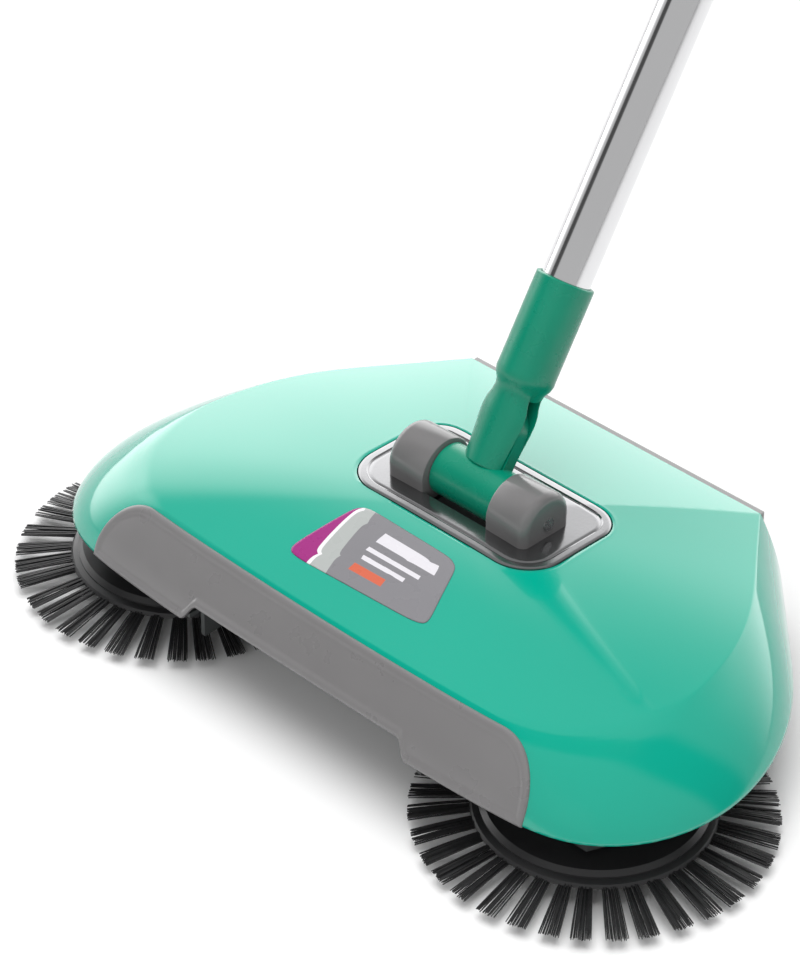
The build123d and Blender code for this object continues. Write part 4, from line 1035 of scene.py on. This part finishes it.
class SWEEPER_OT_stage(bpy.types.Operator):
    """Set out the pale floor, the soft lights and the camera"""

    bl_idname = "sweeper.stage"
    bl_label = "Stage"

    def execute(self, context):
        scene = context.scene
        half = 6000.0
        corners = [(-half, -half, 0), (half, -half, 0), (half, half, 0), (-half, half, 0)]
        mesh = bpy.data.meshes.new("studio_floor")
        mesh.from_pydata([[c * MM for c in corner] for corner in corners], [], [(0, 1, 2, 3)])
        floor = bpy.data.objects.new("studio_floor", mesh)
        context.collection.objects.link(floor)
        mesh.materials.append(moulded("pale_floor", (0.95, 0.95, 0.95), 0.99, (0.8, 0.9), 300.0,
                                      0.01, 2.0))
        scene.world = self.surroundings()
        scene.view_settings.view_transform = "Standard"
        middle = Vector((0.0, MIDDLE_Y * MM, 0.04))
        self.softbox("top_card", middle, (-0.3, 0.2, 2.5), (2.6, 2.6), 66)
        self.softbox("front_card", middle, (0.9, -2.2, 1.3), (1.6, 1.2), 16)
        self.camera(scene)
        return {"FINISHED"}

    def surroundings(self):
        """White all round for diffuse light; reflections meet one broad bright wall, behind
        and to the left, that fades out between two elevations, a dimmer room in front, and
        a dark seam between the two."""
        world = bpy.data.worlds.new("studio")
        world.use_nodes = True
        nodes, links = world.node_tree.nodes, world.node_tree.links
        background = nodes["Background"]
        background.inputs["Color"].default_value = (1, 1, 1, 1)
        ray = nodes.new("ShaderNodeTexCoord").outputs["Generated"]

        def arithmetic(kind, first, second):
            """One arithmetic node on sockets or plain numbers."""
            node = nodes.new("ShaderNodeMath")
            node.operation = kind
            for socket, value in zip(node.inputs, (first, second)):
                if isinstance(value, float):
                    socket.default_value = value
                else:
                    links.new(value, socket)
            return node.outputs[0]

        def ease(value, start, end):
            """Smooth step between two values."""
            node = nodes.new("ShaderNodeMapRange")
            node.interpolation_type = "SMOOTHSTEP"
            node.inputs["From Min"].default_value = start
            node.inputs["From Max"].default_value = end
            links.new(value, node.inputs["Value"])
            return node.outputs["Result"]

        parts = nodes.new("ShaderNodeSeparateXYZ")
        links.new(ray, parts.inputs["Vector"])
        bearing = nodes.new("ShaderNodeVectorMath")
        bearing.operation = "DOT_PRODUCT"
        bearing.inputs[1].default_value = WALL_SIDE
        links.new(ray, bearing.inputs[0])
        facing = ease(bearing.outputs["Value"], 0.15, 0.75)
        below = arithmetic("SUBTRACT", 1.0, ease(parts.outputs["Z"], WALL_FADE, WALL_TOP))
        wall_light = arithmetic("MULTIPLY", arithmetic("MULTIPLY", facing, below), WALL_LIGHT)
        seam = arithmetic("MULTIPLY", ease(bearing.outputs["Value"], -0.34, -0.22),
                          arithmetic("SUBTRACT", 1.0, ease(bearing.outputs["Value"], 0.0, 0.12)))
        room = arithmetic("SUBTRACT", ROOM_LIGHT, arithmetic("MULTIPLY", seam, 0.85 * ROOM_LIGHT))
        mirrored = arithmetic("ADD", wall_light, room)
        path = nodes.new("ShaderNodeLightPath")
        glossy = path.outputs["Is Glossy Ray"]
        plain = arithmetic("MULTIPLY", arithmetic("SUBTRACT", 1.0, glossy), DIFFUSE_LIGHT)
        plain = arithmetic("ADD", plain, path.outputs["Is Camera Ray"])
        total = arithmetic("ADD", plain, arithmetic("MULTIPLY", glossy, mirrored))
        links.new(total, background.inputs["Strength"])
        return world

    def softbox(self, name, target, place, size, power):
        """A rectangular area light aimed at the head."""
        light = bpy.data.lights.new(name, "AREA")
        light.shape = "RECTANGLE"
        light.size, light.size_y = size
        light.energy = power
        lamp = bpy.data.objects.new(name, light)
        bpy.context.collection.objects.link(lamp)
        lamp.location = Vector(place) + Vector((target.x, target.y, 0))
        aim = target - lamp.location
        lamp.rotation_euler = aim.to_track_quat("-Z", "Y").to_euler()
        lamp.visible_glossy = False
        return lamp

    def camera(self, scene):
        """A long lens from the front right, looking down on the head."""
        lens = bpy.data.cameras.new("camera")
        lens.lens = LENS
        lens.clip_start, lens.clip_end = 0.05, 50.0
        eye = bpy.data.objects.new("camera", lens)
        bpy.context.collection.objects.link(eye)
        place = Vector((EYE[0], BRUSH_Y + EYE[1], EYE[2])) * MM
        target = Vector((AIM[0], BRUSH_Y + AIM[1], AIM[2])) * MM
        turn = (target - place).to_track_quat("-Z", "Y").to_matrix().to_4x4()
        roll = Matrix.Rotation(math.radians(ROLL), 4, "Z")
        eye.matrix_world = Matrix.Translation(place) @ turn @ roll
        scene.camera = eye


class SWEEPER_PT_panel(bpy.types.Panel):
    """Sidebar panel with the sweeper's sizes, colours and steps"""

    bl_label = "Floor sweeper"
    bl_idname = "SWEEPER_PT_panel"
    bl_space_type = "VIEW_3D"
    bl_region_type = "UI"
    bl_category = "Sweeper"

    def draw(self, context):
        layout = self.layout
        for group in (context.scene.sweeper_sizes, context.scene.sweeper_colours):
            box = layout.box()
            for name in group.__annotations__:
                box.prop(group, name)
        for operator in STEPS:
            layout.operator(operator.bl_idname)


STEPS = (SWEEPER_OT_shell, SWEEPER_OT_fascia, SWEEPER_OT_hinge, SWEEPER_OT_label,
         SWEEPER_OT_side_brushes, SWEEPER_OT_roller, SWEEPER_OT_joint, SWEEPER_OT_grip,
         SWEEPER_OT_tyres, SWEEPER_OT_finishes, SWEEPER_OT_stage)
CLASSES = (SweeperSizes, SweeperColours) + STEPS + (SWEEPER_PT_panel,)


def register():
    for cls in CLASSES:
        bpy.utils.register_class(cls)
    bpy.types.Scene.sweeper_sizes = bpy.props.PointerProperty(type=SweeperSizes)
    bpy.types.Scene.sweeper_colours = bpy.props.PointerProperty(type=SweeperColours)


def unregister():
    del bpy.types.Scene.sweeper_sizes
    del bpy.types.Scene.sweeper_colours
    for cls in reversed(CLASSES):
        bpy.utils.unregister_class(cls)


def main():
    """Register the classes and build every piece in order."""
    register()
    for operator in STEPS:
        group, step = operator.bl_idname.split(".")
        getattr(getattr(bpy.ops, group), step)()


if __name__ == "__main__":
    main()
